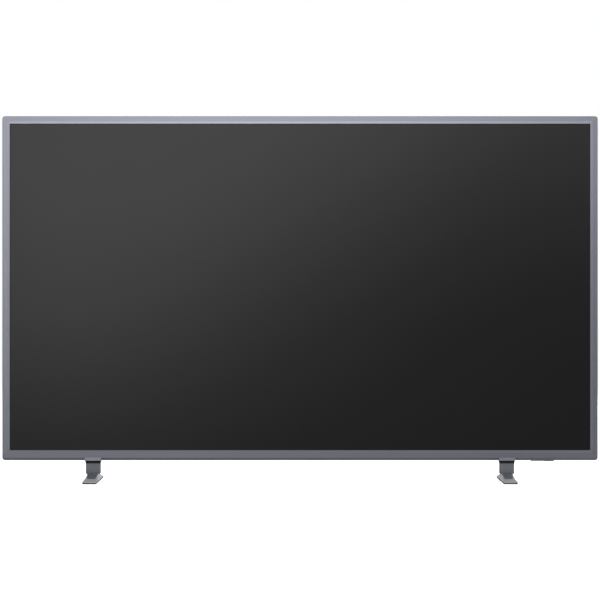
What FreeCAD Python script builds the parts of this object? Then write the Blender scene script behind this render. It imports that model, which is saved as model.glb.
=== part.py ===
import FreeCAD, Part
import math
import os
import re

import Sketcher
from FreeCAD import Placement, Rotation, Vector

# Flat screen television: an edge lit 55 inch panel in a mitred aluminium bezel, a moulded
# back with its electronics housing, and two boot shaped feet.
# Millimetres. The origin is on the floor midway between the feet. X is to the right as seen
# from the front, Y runs to the back and Z up. A depth is measured backwards from the bezel's face.

SIZES = {
    # How far a cutting shape runs past the faces it opens
    "overrun": 1.0,
    # Screen opening and bezel
    "screen_width": 1209.6,
    "screen_height": 680.4,
    "bezel_side": 15.7,
    "bezel_chin": 20.9,
    "bezel_wall": 2.0,
    "edge_radius": 2.0,
    "corner_radius": 6.0,
    "lip_width": 5.0,
    "lip_fall": 0.3,
    "face_fall": 0.4,
    "chin_bevel": 5.0,
    "chin_fall": 1.2,
    "mitre_reach": 3.0,
    # Where the body stands
    "stand_height": 43.0,
    "face_offset": 5.0,
    # Layers of the panel, from the bezel's flange backwards
    "gasket_thickness": 0.8,
    "gasket_width": 6.0,
    "gasket_setback": 1.0,
    "cell_border": 8.0,
    "cell_thickness": 1.8,
    "cell_clearance": 0.5,
    "key_thickness": 1.2,
    "key_width": 5.0,
    "key_arm": 40.0,
    "frame_clearance": 0.5,
    "frame_wall": 2.5,
    "ledge_thickness": 1.2,
    "window_setback": 1.0,
    "sheet_border": 5.0,
    "sheet_clearance": 1.0,
    "sheet_thickness": 0.4,
    "guide_thickness": 3.0,
    "guide_drop": 3.0,
    "reflector_thickness": 0.3,
    "chassis_thickness": 0.8,
    "chassis_setback": 6.0,
    "stack_clearance": 0.1,
    "rib_depth": 4.0,
    "rib_width": 30.0,
    "rib_end": 84.8,
    "rib_spacing": 380.0,
    # Light source along the lower edge
    "led_gap": 0.3,
    "led_height": 2.2,
    "led_length": 4.0,
    "led_pitch": 33.0,
    "led_strip_thickness": 1.0,
    "led_bar_gap": 6.0,
    "led_bar_end": 7.8,
    "spreader_thickness": 1.5,
    "spreader_leg": 7.5,
    # Boards
    "source_board_height": 7.0,
    "source_board_gap": 30.0,
    "source_board_end": 2.0,
    "source_board_thickness": 1.0,
    "ribbon_overlap": 2.0,
    "ribbon_thickness": 0.2,
    "ribbon_width": 35.0,
    "ribbon_pitch": 80.0,
    "board_thickness": 1.6,
    "standoff_height": 17.3,
    "standoff_radius": 3.5,
    "board_gap": 23.0,
    "main_board_width": 163.0,
    "main_board_height": 210.0,
    "power_board_width": 160.0,
    "power_board_height": 225.0,
    "timing_board_width": 220.0,
    "timing_board_height": 50.0,
    "timing_board_lift": 32.0,
    "timing_standoff": 3.0,
    "chip_side": 30.0,
    "chip_height": 2.5,
    "memory_width": 15.0,
    "heat_sink_inset": 96.0,
    "heat_sink_lift": 97.0,
    "heat_sink_width": 55.0,
    "heat_sink_base": 3.0,
    "heat_sink_fin": 1.5,
    "heat_sink_pitch": 9.0,
    "heat_sink_depth": 14.0,
    "tuner_width": 30.0,
    "tuner_height": 26.0,
    "tuner_depth": 14.0,
    "tuner_setback": 4.0,
    "transformer_width": 42.0,
    "transformer_depth": 22.0,
    "transformer_inset": 80.0,
    "transformer_lift": 127.0,
    "standby_width": 25.0,
    "standby_depth": 15.0,
    "standby_inset": 40.0,
    "standby_lift": 187.0,
    "filter_width": 29.0,
    "filter_depth": 18.0,
    "filter_inset": 104.0,
    "filter_lift": 48.0,
    "capacitor_count": 3,
    "capacitor_radius": 9.0,
    "capacitor_height": 24.0,
    "capacitor_inset": 142.0,
    "capacitor_pitch": 22.0,
    "capacitor_lift": 194.0,
    # Rear cover
    "cover_inset": 1.0,
    "cover_depth": 13.0,
    "cover_slope": 14.0,
    "cover_slope_base": 3.0,
    "cover_wall": 2.0,
    "cover_rim_radius": 5.0,
    "cover_back_radius": 12.0,
    "groove_count": 6,
    "groove_lift": 48.0,
    "groove_pitch": 24.0,
    "groove_width": 4.0,
    "groove_depth": 0.7,
    "groove_end": 105.0,
    # Electronics housing on the rear cover
    "housing_lift": 14.0,
    "housing_margin": 30.0,
    "housing_depth": 34.0,
    "housing_slope": 22.0,
    "housing_slope_top": 30.0,
    "housing_wall": 2.2,
    "housing_radius": 14.0,
    "seat_width": 10.0,
    "clip_offset": 260.0,
    "clip_lift": 52.0,
    "clip_length": 12.0,
    "clip_height": 16.0,
    "clip_depth": 9.0,
    "clip_wall": 2.0,
    "clip_mouth": 4.0,
    # Side recesses for the terminals and the mains inlet
    "recess_depth": 53.0,
    "recess_lift": 60.0,
    "terminal_recess_height": 200.0,
    "inlet_recess_height": 56.0,
    "terminal_plate_thickness": 1.0,
    "terminal_plate_margin": 3.0,
    "terminal_window_height": 186.0,
    "terminal_window_depth": 17.0,
    "board_setback": 6.0,
    # Sockets, from the bottom of the terminal recess upwards, and the mains inlet
    "socket_length": 12.0,
    "socket_wall": 0.6,
    "tongue_thickness": 1.2,
    "tongue_setback": 1.5,
    "antenna_lift": 23.0,
    "antenna_radius": 4.7,
    "antenna_bore": 1.0,
    "antenna_axis": 7.0,
    "antenna_proud": 9.0,
    "lan_lift": 51.0,
    "lan_width": 16.0,
    "lan_depth": 13.5,
    "hdmi_count": 3,
    "hdmi_lift": 75.0,
    "hdmi_pitch": 22.0,
    "hdmi_width": 15.2,
    "hdmi_depth": 5.8,
    "hdmi_tongue": 10.5,
    "usb_count": 2,
    "usb_lift": 142.0,
    "usb_pitch": 20.0,
    "usb_width": 14.0,
    "usb_depth": 7.2,
    "usb_tongue": 10.0,
    "jack_lift": 181.0,
    "jack_size": 10.0,
    "jack_barrel_radius": 3.0,
    "jack_bore_radius": 1.75,
    "jack_bore_length": 14.0,
    "inlet_length": 20.0,
    "inlet_body_height": 22.0,
    "inlet_body_depth": 14.0,
    "inlet_flange": 2.0,
    "inlet_mouth": 14.0,
    "inlet_lobe_radius": 3.8,
    "inlet_waist_depth": 5.2,
    "inlet_pin_spacing": 8.6,
    "inlet_pin_radius": 1.2,
    "inlet_pin_setback": 2.0,
    # Wall mount
    "wall_mount_width": 400.0,
    "wall_mount_height": 200.0,
    "wall_mount_lift": 300.0,
    "post_radius": 7.0,
    "post_clearance": 0.4,
    "dish_radius": 15.0,
    "dish_depth": 0.8,
    "post_bore": 2.5,
    "post_bore_depth": 22.0,
    # Screws
    "screw_head_radius": 4.0,
    "screw_head_height": 2.0,
    "screw_radius": 2.0,
    "screw_clearance": 0.2,
    "screw_inset": 26.0,
    "side_screw_lift": 60.0,
    "screw_sunk": 0.5,
    # Grilles
    "grille_clearance": 0.2,
    "grille_rim": 2.0,
    "grille_rim_height": 1.0,
    "vent_width": 300.0,
    "vent_height": 24.0,
    "vent_slot": 5.0,
    "vent_pitch": 11.0,
    "vent_bar": 3.0,
    "vent_drop": 16.0,
    "speaker_grille_width": 116.0,
    "speaker_grille_depth": 18.0,
    # Loudspeakers
    "speaker_inset": 12.0,
    "speaker_width": 145.0,
    "speaker_height": 33.0,
    "speaker_gap": 2.0,
    "driver_radius": 8.0,
    "driver_height": 5.0,
    "driver_gap": 0.3,
    "speaker_slot": 3.0,
    "speaker_pitch": 8.0,
    "speaker_bar": 2.0,
    # Keys at the back, beside the right edge seen from the front
    "keys_inset": 60.5,
    "keys_lift": 257.0,
    "key_pitch": 25.0,
    "key_cap": 13.0,
    "key_clearance": 0.5,
    "key_flange": 16.0,
    "key_flange_thickness": 1.1,
    "key_flange_gap": 0.1,
    "key_proud": 1.5,
    "key_travel": 0.8,
    "key_stem": 4.0,
    "key_rest_gap": 0.05,
    "key_edge": 0.6,
    "holder_width": 26.0,
    "holder_margin": 20.0,
    "holder_wall": 2.0,
    "holder_rim": 2.0,
    "holder_rim_height": 0.8,
    "holder_depth": 10.3,
    "holder_clearance": 0.2,
    "key_board_thickness": 1.2,
    "switch_side": 6.0,
    "switch_height": 3.5,
    "plunger_radius": 1.75,
    "plunger_height": 0.7,
    # Remote sensor
    "sensor_gap": 73.5,
    "sensor_width": 51.0,
    "sensor_drop": 2.4,
    "sensor_depth": 8.0,
    "sensor_lead": 2.0,
    "sensor_setback": 4.0,
    "sensor_taper": 2.5,
    "sensor_stem_width": 12.0,
    "sensor_stem_depth": 3.0,
    "sensor_board_thickness": 1.0,
    "sensor_board_width": 16.0,
    "sensor_round": 1.2,
    # Feet
    "foot_inset": 13.5,
    "foot_toe": 111.0,
    "foot_heel": 111.0,
    "foot_width": 28.6,
    "foot_ridge": 20.0,
    "foot_edge": 0.8,
    "foot_hub": 16.0,
    "slope_toe": 55.0,
    "slope_heel": 76.0,
    "slope_rise": 3.2,
    "sole_thickness": 3.0,
    "sole_setback": 0.3,
    "sole_corner": 1.5,
    "neck_width": 30.0,
    "neck_front": 3.0,
    "neck_back": 28.0,
    "neck_skirt": 15.0,
    "neck_toe": 55.0,
    "neck_heel": 76.0,
    "neck_tip_width": 15.6,
    "neck_waist_width": 24.0,
    "neck_waist": 3.0,
    "neck_tip_base": 5.0,
    "neck_tip_height": 8.0,
    "neck_knee": 18.5,
    "neck_sweep": 14.0,
    "neck_corner": 5.0,
    "base_screw_spacing": 12.0,
    "base_screw_length": 22.0,
    "tenon_screw_depth": 6.0,
    "socket_height": 6.0,
    "socket_flare": 1.6,
    "collar_thickness": 0.8,
    "collar_width": 34.0,
    "collar_upstand": 5.5,
    "tenon_width": 20.0,
    "tenon_depth": 7.8,
    "tenon_height": 47.0,
    "tenon_root": 5.0,
    "tenon_clearance": 0.2,
    "bracket_width": 60.0,
    "bracket_thickness": 3.0,
    "bracket_gap": 1.0,
}

KEY_NAMES = (
    "volume_down_key",
    "volume_up_key",
    "channel_down_key",
    "channel_up_key",
    "menu_key",
    "source_key",
    "power_key",
)

DERIVED = {
    "half_width": "screen_width / 2 + bezel_side",
    "screen_half": "screen_width / 2",
    "body_base": "stand_height",
    "screen_base": "stand_height + bezel_chin",
    "screen_top": "screen_base + screen_height",
    "body_top": "screen_top + bezel_side",
    "inner_half": "half_width - bezel_wall",
    "inner_base": "body_base + bezel_wall",
    "inner_top": "body_top - bezel_wall",
    "frame_half": "inner_half - frame_clearance",
    "frame_base": "inner_base + frame_clearance",
    "frame_top": "inner_top - frame_clearance",
    "frame_front": "bezel_wall + key_thickness",
    "cell_front": "bezel_wall + gasket_thickness",
    "cell_back": "cell_front + cell_thickness",
    "cell_base": "screen_base - cell_border",
    "ledge_back": "cell_back + ledge_thickness",
    "prism_back": "ledge_back + sheet_thickness",
    "diffuser_back": "prism_back + sheet_thickness",
    "guide_back": "diffuser_back + guide_thickness",
    "guide_base": "screen_base - guide_drop",
    "reflector_back": "guide_back + reflector_thickness",
    "chassis_back": "reflector_back + chassis_thickness",
    "bezel_depth": "chassis_back + stack_clearance",
    "screen_middle": "screen_base + screen_height / 2",
    "rib_length": "2 * (screen_half - rib_end)",
    "source_board_length": "sensor_offset - sensor_board_width / 2 - source_board_end - source_board_gap / 2",
    "led_bar_length": "screen_half - led_bar_gap / 2 - led_bar_end",
    "led_top": "guide_base - led_gap",
    "led_base": "led_top - led_height",
    "strip_base": "led_base - led_strip_thickness",
    "spreader_base": "strip_base - spreader_thickness",
    "cover_back": "bezel_depth + cover_depth",
    "cover_inside": "cover_back - cover_wall",
    "rim_half": "half_width - cover_inset",
    "rim_base": "body_base + cover_inset",
    "rim_top": "body_top - cover_inset",
    "housing_half_width": "recess_wall + recess_depth",
    "housing_base": "body_base + housing_lift",
    "housing_top": "wall_mount_middle + wall_mount_height / 2 + housing_margin + housing_slope_top",
    "housing_back": "cover_back + housing_depth",
    "housing_inside": "housing_back - housing_wall",
    "recess_wall": "wall_mount_width / 2 + board_gap + main_board_width + board_setback",
    "recess_floor": "cover_back + housing_wall",
    "recess_base": "body_base + recess_lift",
    "board_front": "chassis_back + standoff_height",
    "board_back": "board_front + board_thickness",
    "board_edge": "recess_wall - board_setback",
    "board_base": "recess_base + board_setback / 2",
    "wall_mount_middle": "body_base + wall_mount_lift",
    "foot_middle": "housing_half_width - foot_inset",
    "sensor_offset": "foot_middle + sensor_gap",
    "foot_underside": "sole_thickness",
    "foot_crest": "foot_underside + foot_edge + slope_rise",
    "neck_top": "stand_height - collar_thickness - socket_height",
    "collar_base": "stand_height - collar_thickness",
    "holder_back": "cover_back + holder_rim_height",
    "key_flange_back": "holder_back - holder_wall - key_flange_gap",
    "key_flange_front": "key_flange_back - key_flange_thickness",
    "holder_front": "cover_back - holder_depth",
    "switch_back": "holder_front + switch_height",
    "plunger_back": "switch_back + plunger_height",
    "keys_offset": "half_width - keys_inset",
    "keys_height": "body_base + keys_lift",
    "holder_height": "key_pitch * %d + holder_margin * 2" % (len(KEY_NAMES) - 1),
    "holder_base": "keys_height - holder_height / 2",
    "foot_screw_height": "(rim_base + cover_slope_base + housing_base) / 2",
    "upper_vent_height": "housing_top - housing_slope_top - vent_drop - vent_height / 2",
    "lower_vent_height": "housing_base + housing_wall + vent_drop + vent_height / 2",
    "speaker_outer": "recess_wall - speaker_inset",
    "speaker_middle": "speaker_outer - speaker_width / 2",
    "speaker_grille_middle": "(recess_floor + housing_inside) / 2",
    "speaker_base": "housing_base + seat_width + driver_gap",
    "inlet_middle_height": "recess_base + inlet_recess_height / 2",
    "inlet_middle_depth": "board_back + inlet_body_depth / 2",
    "antenna_height": "recess_base + antenna_lift",
    "lan_height": "recess_base + lan_lift",
    "hdmi_height": "recess_base + hdmi_lift",
    "usb_height": "recess_base + usb_lift",
    "jack_height": "recess_base + jack_lift",
    "heat_sink_x": "board_edge - heat_sink_inset",
    "heat_sink_z": "recess_base + heat_sink_lift",
    "source_board_base": "frame_base + frame_wall / 2 + cell_clearance",
    "bracket_base": "rim_base + cover_wall + cover_slope_base + frame_clearance",
    "neck_middle": "(neck_front + neck_back) / 2",
    "tenon_front": "chassis_back + bracket_thickness",
}

# Sides of the small round pieces that repeat, of screw shanks and of the hexagonal pillars
SIDES = 12
SHANK_SIDES = 8
PILLAR_SIDES = 6

doc = FreeCAD.newDocument("television")
sheet = doc.addObject("Spreadsheet::Sheet", "Sizes")
for row, (alias, number) in enumerate(SIZES.items(), start=1):
    sheet.set("A%d" % row, alias.replace("_", " "))
    sheet.set("B%d" % row, str(number))
    sheet.setAlias("B%d" % row, alias)
doc.recompute()

nodes = {}


# Formulas and basic solids

def tied(formula):
    """The formula with every size spelled out as a cell of the sheet."""
    def spell(match):
        word = match.group()
        if word in DERIVED:
            return "(%s)" % tied(DERIVED[word])
        return "Sizes." + word if word in SIZES else word
    return re.sub(r"[a-z][a-z_]*", spell, str(formula))


def size(formula):
    """The formula's present value in millimetres."""
    return float(sheet.evalExpression(tied(formula)))


def keep(item, label):
    """Make the item a node of its own, under its label."""
    item.Label = label
    nodes[label] = item
    return item


def block(name, across, deep, up):
    """A box from its low and high x, depth and z."""
    box = doc.addObject("Part::Box", name)
    for side, (low, high) in (("Length", across), ("Width", deep), ("Height", up)):
        box.setExpression(side, tied("(%s) - (%s)" % (high, low)))
    box.setExpression("Placement.Base.x", tied(across[0]))
    box.setExpression("Placement.Base.y", tied("%s - face_offset" % deep[0]))
    box.setExpression("Placement.Base.z", tied(up[0]))
    return box


AXES = {
    "X": Rotation(Vector(0, 1, 0), 90),
    "-X": Rotation(Vector(0, 1, 0), -90),
    "Y": Rotation(Vector(1, 0, 0), -90),
    "Z": Rotation(),
}


def rod(name, axis, radius, start, length, sides=0):
    """A bar, round or with so many sides, that leaves its start (x, depth, z) along an axis."""
    bar = doc.addObject("Part::Prism" if sides else "Part::Cylinder", name)
    if sides:
        bar.Polygon = sides
    bar.Placement = Placement(Vector(), AXES[axis])
    bar.setExpression("Circumradius" if sides else "Radius", tied(radius))
    bar.setExpression("Height", tied(length))
    bar.setExpression("Placement.Base.x", tied(start[0]))
    bar.setExpression("Placement.Base.y", tied("%s - face_offset" % start[1]))
    bar.setExpression("Placement.Base.z", tied(start[2]))
    return bar


def joined(name, items):
    if len(items) == 1:
        return items[0]
    union = doc.addObject("Part::MultiFuse", name)
    union.Shapes = items
    return union


def without(name, base, tools):
    cut = doc.addObject("Part::Cut", name)
    cut.Base = base
    cut.Tool = joined(name + "_tools", tools)
    return cut


def shared(name, base, tool):
    common = doc.addObject("Part::Common", name)
    common.Base = base
    common.Tool = tool
    return common


def group(name, items):
    """Separate solids that share one node."""
    bundle = doc.addObject("Part::Compound", name)
    bundle.Links = items
    return bundle


def on_side(side, span):
    """A span of x measured outwards, on the left or the right."""
    low, high = span
    if side == "right":
        return low, high
    return "-(%s)" % high, "-(%s)" % low


def at_side(side, place):
    return place if side == "right" else "-(%s)" % place


def centred(width, middle="0"):
    return "%s - (%s) / 2" % (middle, width), "%s + (%s) / 2" % (middle, width)


# Sketched bodies

def origin_plane(body, role):
    return next(item for item in body.Origin.OriginFeatures if item.Role == role)


def fixed_point(sketch, geometry, corner, place):
    """Hold one point of the sketch at a pair of formulas."""
    for kind, formula in zip(("DistanceX", "DistanceY"), place):
        index = sketch.addConstraint(Sketcher.Constraint(kind, geometry, corner, size(formula)))
        sketch.setExpression("Constraints[%d]" % index, tied(formula))


def add_loop(sketch, corners):
    """A closed outline through corners of (x, y) or (x, y, radius) formulas."""
    count = len(corners)
    points = [Vector(size(corner[0]), size(corner[1]), 0) for corner in corners]
    enters = []
    leaves = []
    arcs = {}
    for index, corner in enumerate(corners):
        point = points[index]
        before = (points[index - 1] - point).normalize()
        after = (points[(index + 1) % count] - point).normalize()
        back = 0
        if len(corner) == 3:
            half_turn = before.getAngle(after) / 2
            radius = size(corner[2])
            back = radius / math.tan(half_turn)
            middle = point + (before + after).normalize() * (radius / math.sin(half_turn))
            arcs[index] = (middle, radius, before.cross(after).z < 0)
        enters.append(point + before * back)
        leaves.append(point + after * back)
    lines = [
        sketch.addGeometry(Part.LineSegment(leaves[index], enters[(index + 1) % count]))
        for index in range(count)
    ]
    for index, corner in enumerate(corners):
        line_in = lines[index - 1]
        line_out = lines[index]
        if index not in arcs:
            sketch.addConstraint(Sketcher.Constraint("Coincident", line_in, 2, line_out, 1))
            fixed_point(sketch, line_out, 1, corner[:2])
            continue
        middle, radius, anticlockwise = arcs[index]
        first, last = enters[index] - middle, leaves[index] - middle
        if not anticlockwise:
            first, last = last, first
        angles = [math.atan2(arm.y, arm.x) for arm in (first, last)]
        if angles[1] < angles[0]:
            angles[1] += 2 * math.pi
        circle = Part.Circle(middle, Vector(0, 0, 1), radius)
        arc = sketch.addGeometry(Part.ArcOfCircle(circle, angles[0], angles[1]))
        start, end = (1, 2) if anticlockwise else (2, 1)
        sketch.addConstraint(Sketcher.Constraint("Tangent", line_in, 2, arc, start))
        sketch.addConstraint(Sketcher.Constraint("Tangent", arc, end, line_out, 1))
        bound = sketch.addConstraint(Sketcher.Constraint("Radius", arc, radius))
        sketch.setExpression("Constraints[%d]" % bound, tied(corner[2]))
        apex = sketch.addGeometry(Part.Point(points[index]), True)
        fixed_point(sketch, apex, 1, corner[:2])
        sketch.addConstraint(Sketcher.Constraint("PointOnObject", apex, 1, line_in))
        sketch.addConstraint(Sketcher.Constraint("PointOnObject", apex, 1, line_out))


def sketch_on(body, name, role, offset, *loops):
    """A sketch on one of the body's own planes, moved along the plane's normal."""
    sketch = body.newObject("Sketcher::SketchObject", name)
    sketch.AttachmentSupport = [(origin_plane(body, role), "")]
    sketch.MapMode = "FlatFace"
    sketch.setExpression("AttachmentOffset.Base.z", tied(offset))
    for corners in loops:
        add_loop(sketch, corners)
    return sketch


def front_sketch(body, name, depth, *loops):
    """A sketch seen from the front, of x and z, at a depth behind the bezel's face."""
    return sketch_on(body, name, "XZ_Plane", "face_offset - (%s)" % depth, *loops)


def rectangle(across, up, radius=None):
    tail = () if radius is None else (radius,)
    return [
        (across[0], up[0]) + tail,
        (across[1], up[0]) + tail,
        (across[1], up[1]) + tail,
        (across[0], up[1]) + tail,
    ]


def pad(body, sketch, length, backwards=True, both_ways=False):
    feature = body.newObject("PartDesign::Pad", sketch.Name + "_pad")
    feature.Profile = sketch
    feature.setExpression("Length", tied(length))
    feature.Reversed = backwards
    feature.Midplane = both_ways
    return feature


def pocket(body, sketch, length):
    """Cut backwards from a front sketch."""
    feature = body.newObject("PartDesign::Pocket", sketch.Name + "_pocket")
    feature.Profile = sketch
    feature.setExpression("Length", tied(length))
    return feature


def loft(body, sketches, kind="Additive"):
    feature = body.newObject("PartDesign::%sLoft" % kind, sketches[0].Name + "_loft")
    feature.Profile = sketches[0]
    feature.Sections = sketches[1:]
    feature.Ruled = True
    return feature


def dress(body, kind, edges_like, reach):
    """Fillet or chamfer the edges of the body's last feature that pass a test."""
    doc.recompute()
    last = body.Tip
    edges = [
        "Edge%d" % number
        for number, edge in enumerate(last.Shape.Edges, start=1)
        if edges_like(edge)
    ]
    feature = body.newObject("PartDesign::%s" % kind, body.Name + "_" + kind.lower())
    feature.Base = (last, edges)
    feature.setExpression("Radius" if kind == "Fillet" else "Size", tied(reach))
    return feature


def lies_at(edge, depth):
    """Whether an edge lies all along at one depth behind the bezel's face."""
    place = size(depth) - size("face_offset")
    box = edge.BoundBox
    return abs(box.YMin - place) < 0.01 and abs(box.YMax - place) < 0.01


# Bezel: one ring profile, mitred into four bars, and the keys that join them

def make_bezel():
    ring = doc.addObject("PartDesign::Body", "bezel_ring")
    sides = ("-(half_width)", "half_width")
    outline = front_sketch(
        ring, "bezel_outline", "0", rectangle(sides, ("body_base", "body_top"), "corner_radius")
    )
    pad(ring, outline, "bezel_depth")
    dress(ring, "Fillet", lambda edge: lies_at(edge, "0"), "edge_radius")
    hollow = front_sketch(
        ring, "bezel_hollow", "bezel_wall",
        rectangle(("-(inner_half)", "inner_half"), ("inner_base", "inner_top"),
                  "corner_radius - bezel_wall"),
    )
    pocket(ring, hollow, "bezel_depth - bezel_wall")

    def round_screen(reach, chin_reach):
        return rectangle(("-(screen_half + %s)" % reach, "screen_half + %s" % reach),
                         ("screen_base - %s" % chin_reach, "screen_top + %s" % reach))

    pocket(ring, front_sketch(ring, "screen_opening", "0", round_screen("0", "0")), "bezel_depth")

    # The front falls back from the screen: first the lip, then the face, carried past the edge.
    crown = doc.addObject("PartDesign::Body", "bezel_crown")
    lip = round_screen("lip_width", "lip_width")
    beyond = round_screen("(2 * bezel_side - lip_width)", "(2 * bezel_chin - lip_width)")
    foot = "lip_fall + 2 * face_fall"
    loft(crown, [front_sketch(crown, "lip_foot", "lip_fall", lip),
                 front_sketch(crown, "lip_top", "0", round_screen("0", "0"))])
    loft(crown, [front_sketch(crown, "face_foot", foot, beyond),
                 front_sketch(crown, "face_top", "lip_fall", lip)])
    pad(crown, front_sketch(crown, "crown_block", foot, beyond), "bezel_depth")

    # Along its lower edge the chin is bevelled as well.
    chin = doc.addObject("PartDesign::Body", "chin_cutter")
    face_depth = "lip_fall + face_fall * (bezel_chin - lip_width - chin_bevel) / (bezel_chin - lip_width)"
    front = "%s - chin_fall - face_offset" % face_depth
    bevel = sketch_on(chin, "chin_profile", "YZ_Plane", "0", [
        (front, "body_base - chin_bevel"),
        ("%s + 2 * chin_fall - face_offset" % face_depth, "body_base - chin_bevel"),
        (front, "body_base + 2 * chin_bevel"),
    ])
    pad(chin, bevel, "2 * (half_width + overrun)", backwards=False, both_ways=True)
    ring = without("bevelled_ring", shared("sloped_ring", ring, crown), [chin])

    # The mitres run from the screen's corners to the bezel's, and a little past both.
    slant = "mitre_reach * bezel_side / bezel_chin"
    far_top = ("half_width + mitre_reach", "body_top + mitre_reach")
    near_top = ("screen_half - mitre_reach", "screen_top - mitre_reach")
    far_base = ("half_width + " + slant, "body_base - mitre_reach")
    near_base = ("screen_half - " + slant, "screen_base + mitre_reach")

    def mirrored(corner):
        return "-(%s)" % corner[0], corner[1]

    wedges = {
        "bezel_top": [mirrored(near_top), near_top, far_top, mirrored(far_top)],
        "bezel_bottom": [mirrored(far_base), far_base, near_base, mirrored(near_base)],
        "bezel_right": [near_base, far_base, far_top, near_top],
        "bezel_left": [mirrored(near_base), mirrored(near_top), mirrored(far_top), mirrored(far_base)],
    }
    bars = {}
    for label, corners in wedges.items():
        wedge = doc.addObject("PartDesign::Body", label + "_wedge")
        pad(wedge, front_sketch(wedge, label + "_saw", "-mitre_reach", corners),
            "bezel_depth + 2 * mitre_reach")
        bars[label] = shared(label, ring, wedge)
    # The sensor looks out through a slot in the lower bar.
    slot = block(
        "sensor_slot",
        centred("sensor_stem_width + 2 * screw_clearance", "sensor_offset"),
        ("sensor_setback - screw_clearance", "sensor_setback + sensor_stem_depth + screw_clearance"),
        ("body_base - overrun", "inner_base + overrun"),
    )
    bars["bezel_bottom"] = without("bezel_bottom_bar", bars["bezel_bottom"], [slot])
    for label, bar in bars.items():
        keep(bar, label)
    return ring


def frame_outline():
    """What fits inside the bezel's walls, with its rounded corners."""
    return rectangle(("-(frame_half)", "frame_half"), ("frame_base", "frame_top"),
                     "corner_radius - bezel_wall - frame_clearance")


def make_corner_keys():
    keys = []
    deep = ("bezel_wall", "frame_front")
    for side in ("left", "right"):
        for name, edge, inwards in (("base", "frame_base", "+"), ("top", "frame_top", "-")):
            def up(reach):
                far = "%s %s %s" % (edge, inwards, reach)
                return (edge, far) if inwards == "+" else (far, edge)
            stem = "corner_key_%s_%s" % (side, name)
            upright = block(
                stem + "_upright", on_side(side, ("frame_half - key_width", "frame_half")),
                deep, up("key_arm"))
            level = block(
                stem + "_level", on_side(side, ("frame_half - key_arm", "frame_half")),
                deep, up("key_width"))
            keys.append(joined(stem, [upright, level]))
    limit = doc.addObject("PartDesign::Body", "corner_key_limit")
    inside = front_sketch(limit, "corner_key_outline", "bezel_wall", frame_outline())
    pad(limit, inside, "key_thickness")
    keys = [shared(key.Name + "_rounded", key, limit) for key in keys]
    keep(group("corner_keys", keys), "bezel_corner_keys")


# Panel: what lies between the bezel's flange and the chassis

def frame_plate(name, half, base, top, deep, hole):
    """A flat frame: outer half width, base and top, and the same three of its hole."""
    plate = block(name + "_plate", ("-(%s)" % half, half), deep, (base, top))
    window = block(name + "_window", ("-(%s)" % hole[0], hole[0]),
                   ("%s - overrun" % deep[0], "%s + overrun" % deep[1]), hole[1:])
    return without(name, plate, [window])


def make_panel():
    gasket_edge = "gasket_setback + gasket_width"
    gasket = frame_plate(
        "panel_gasket", "screen_half + " + gasket_edge,
        "screen_base - (%s)" % gasket_edge, "screen_top + " + gasket_edge,
        ("bezel_wall", "cell_front"),
        ("screen_half + gasket_setback", "screen_base - gasket_setback", "screen_top + gasket_setback"),
    )
    keep(gasket, "panel_gasket")

    cell_half = "screen_half + cell_border"
    cell = block("lcd_cell", ("-(%s)" % cell_half, cell_half), ("cell_front", "cell_back"),
                 ("cell_base", "screen_top + cell_border"))
    keep(cell, "lcd_cell")

    pocket_half = "screen_half + cell_border + cell_clearance"
    rear_half = "screen_half + sheet_border + sheet_clearance"
    window_half = "screen_half + window_setback"
    frame = doc.addObject("PartDesign::Body", "frame_blank")
    edge = front_sketch(frame, "frame_edge", "frame_front", frame_outline())
    pad(frame, edge, "reflector_back - frame_front")
    cell_pocket = block(
        "frame_cell_pocket", ("-(%s)" % pocket_half, pocket_half), ("frame_front - overrun", "cell_back"),
        ("frame_base + frame_wall / 2", "screen_top + cell_border + cell_clearance"))
    window = block(
        "frame_window", ("-(%s)" % window_half, window_half), ("frame_front", "reflector_back"),
        ("screen_base - window_setback", "screen_top + window_setback"))
    rear_pocket = block(
        "frame_rear_pocket", ("-(%s)" % rear_half, rear_half), ("ledge_back", "reflector_back + overrun"),
        ("frame_base + frame_wall", "screen_top + sheet_border + sheet_clearance"))
    keep(without("middle_frame", frame, [cell_pocket, window, rear_pocket]), "middle_frame")

    half = "screen_half + sheet_border"
    layers = (
        ("prism_sheet", "ledge_back", "prism_back"),
        ("diffuser_sheet", "prism_back", "diffuser_back"),
        ("light_guide_plate", "diffuser_back", "guide_back"),
        ("reflector_sheet", "guide_back", "reflector_back"),
    )
    for label, front, back in layers:
        layer = block(label, ("-(%s)" % half, half), (front, back),
                      ("guide_base", "screen_top + sheet_border"))
        keep(layer, label)


def make_light_source():
    bars = []
    for side in ("left", "right"):
        body = doc.addObject("PartDesign::Body", "led_bar_" + side)
        span = on_side(side, ("led_bar_gap / 2", "led_bar_gap / 2 + led_bar_length"))
        strip = front_sketch(body, "led_strip_" + side, "prism_back",
                             rectangle(span, ("strip_base", "led_base")))
        pad(body, strip, "guide_back - prism_back")
        first = "%s + led_pitch / 2" % span[0]
        led = front_sketch(body, "led_" + side, "diffuser_back",
                           rectangle(centred("led_length", first), ("led_base", "led_top")))
        package = pad(body, led, "guide_back - diffuser_back - led_gap")
        row = body.newObject("PartDesign::LinearPattern", "led_row_" + side)
        row.Originals = [package]
        row.Direction = (origin_plane(body, "X_Axis"), [""])
        row.setExpression("Length", tied("led_bar_length - led_pitch"))
        row.Occurrences = int(size("led_bar_length / led_pitch"))
        body.Tip = row
        bars.append(body)
    keep(group("led_bars", bars), "led_bars")

    across = ("-(led_bar_gap / 2 + led_bar_length)", "led_bar_gap / 2 + led_bar_length")
    shelf = block("spreader_shelf", across, ("prism_back", "reflector_back"), ("spreader_base", "strip_base"))
    leg = block("spreader_leg_plate", across, ("reflector_back - spreader_thickness", "reflector_back"),
                ("spreader_base - spreader_leg", "spreader_base"))
    keep(joined("heat_spreader", [shelf, leg]), "led_heat_spreader")


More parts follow.
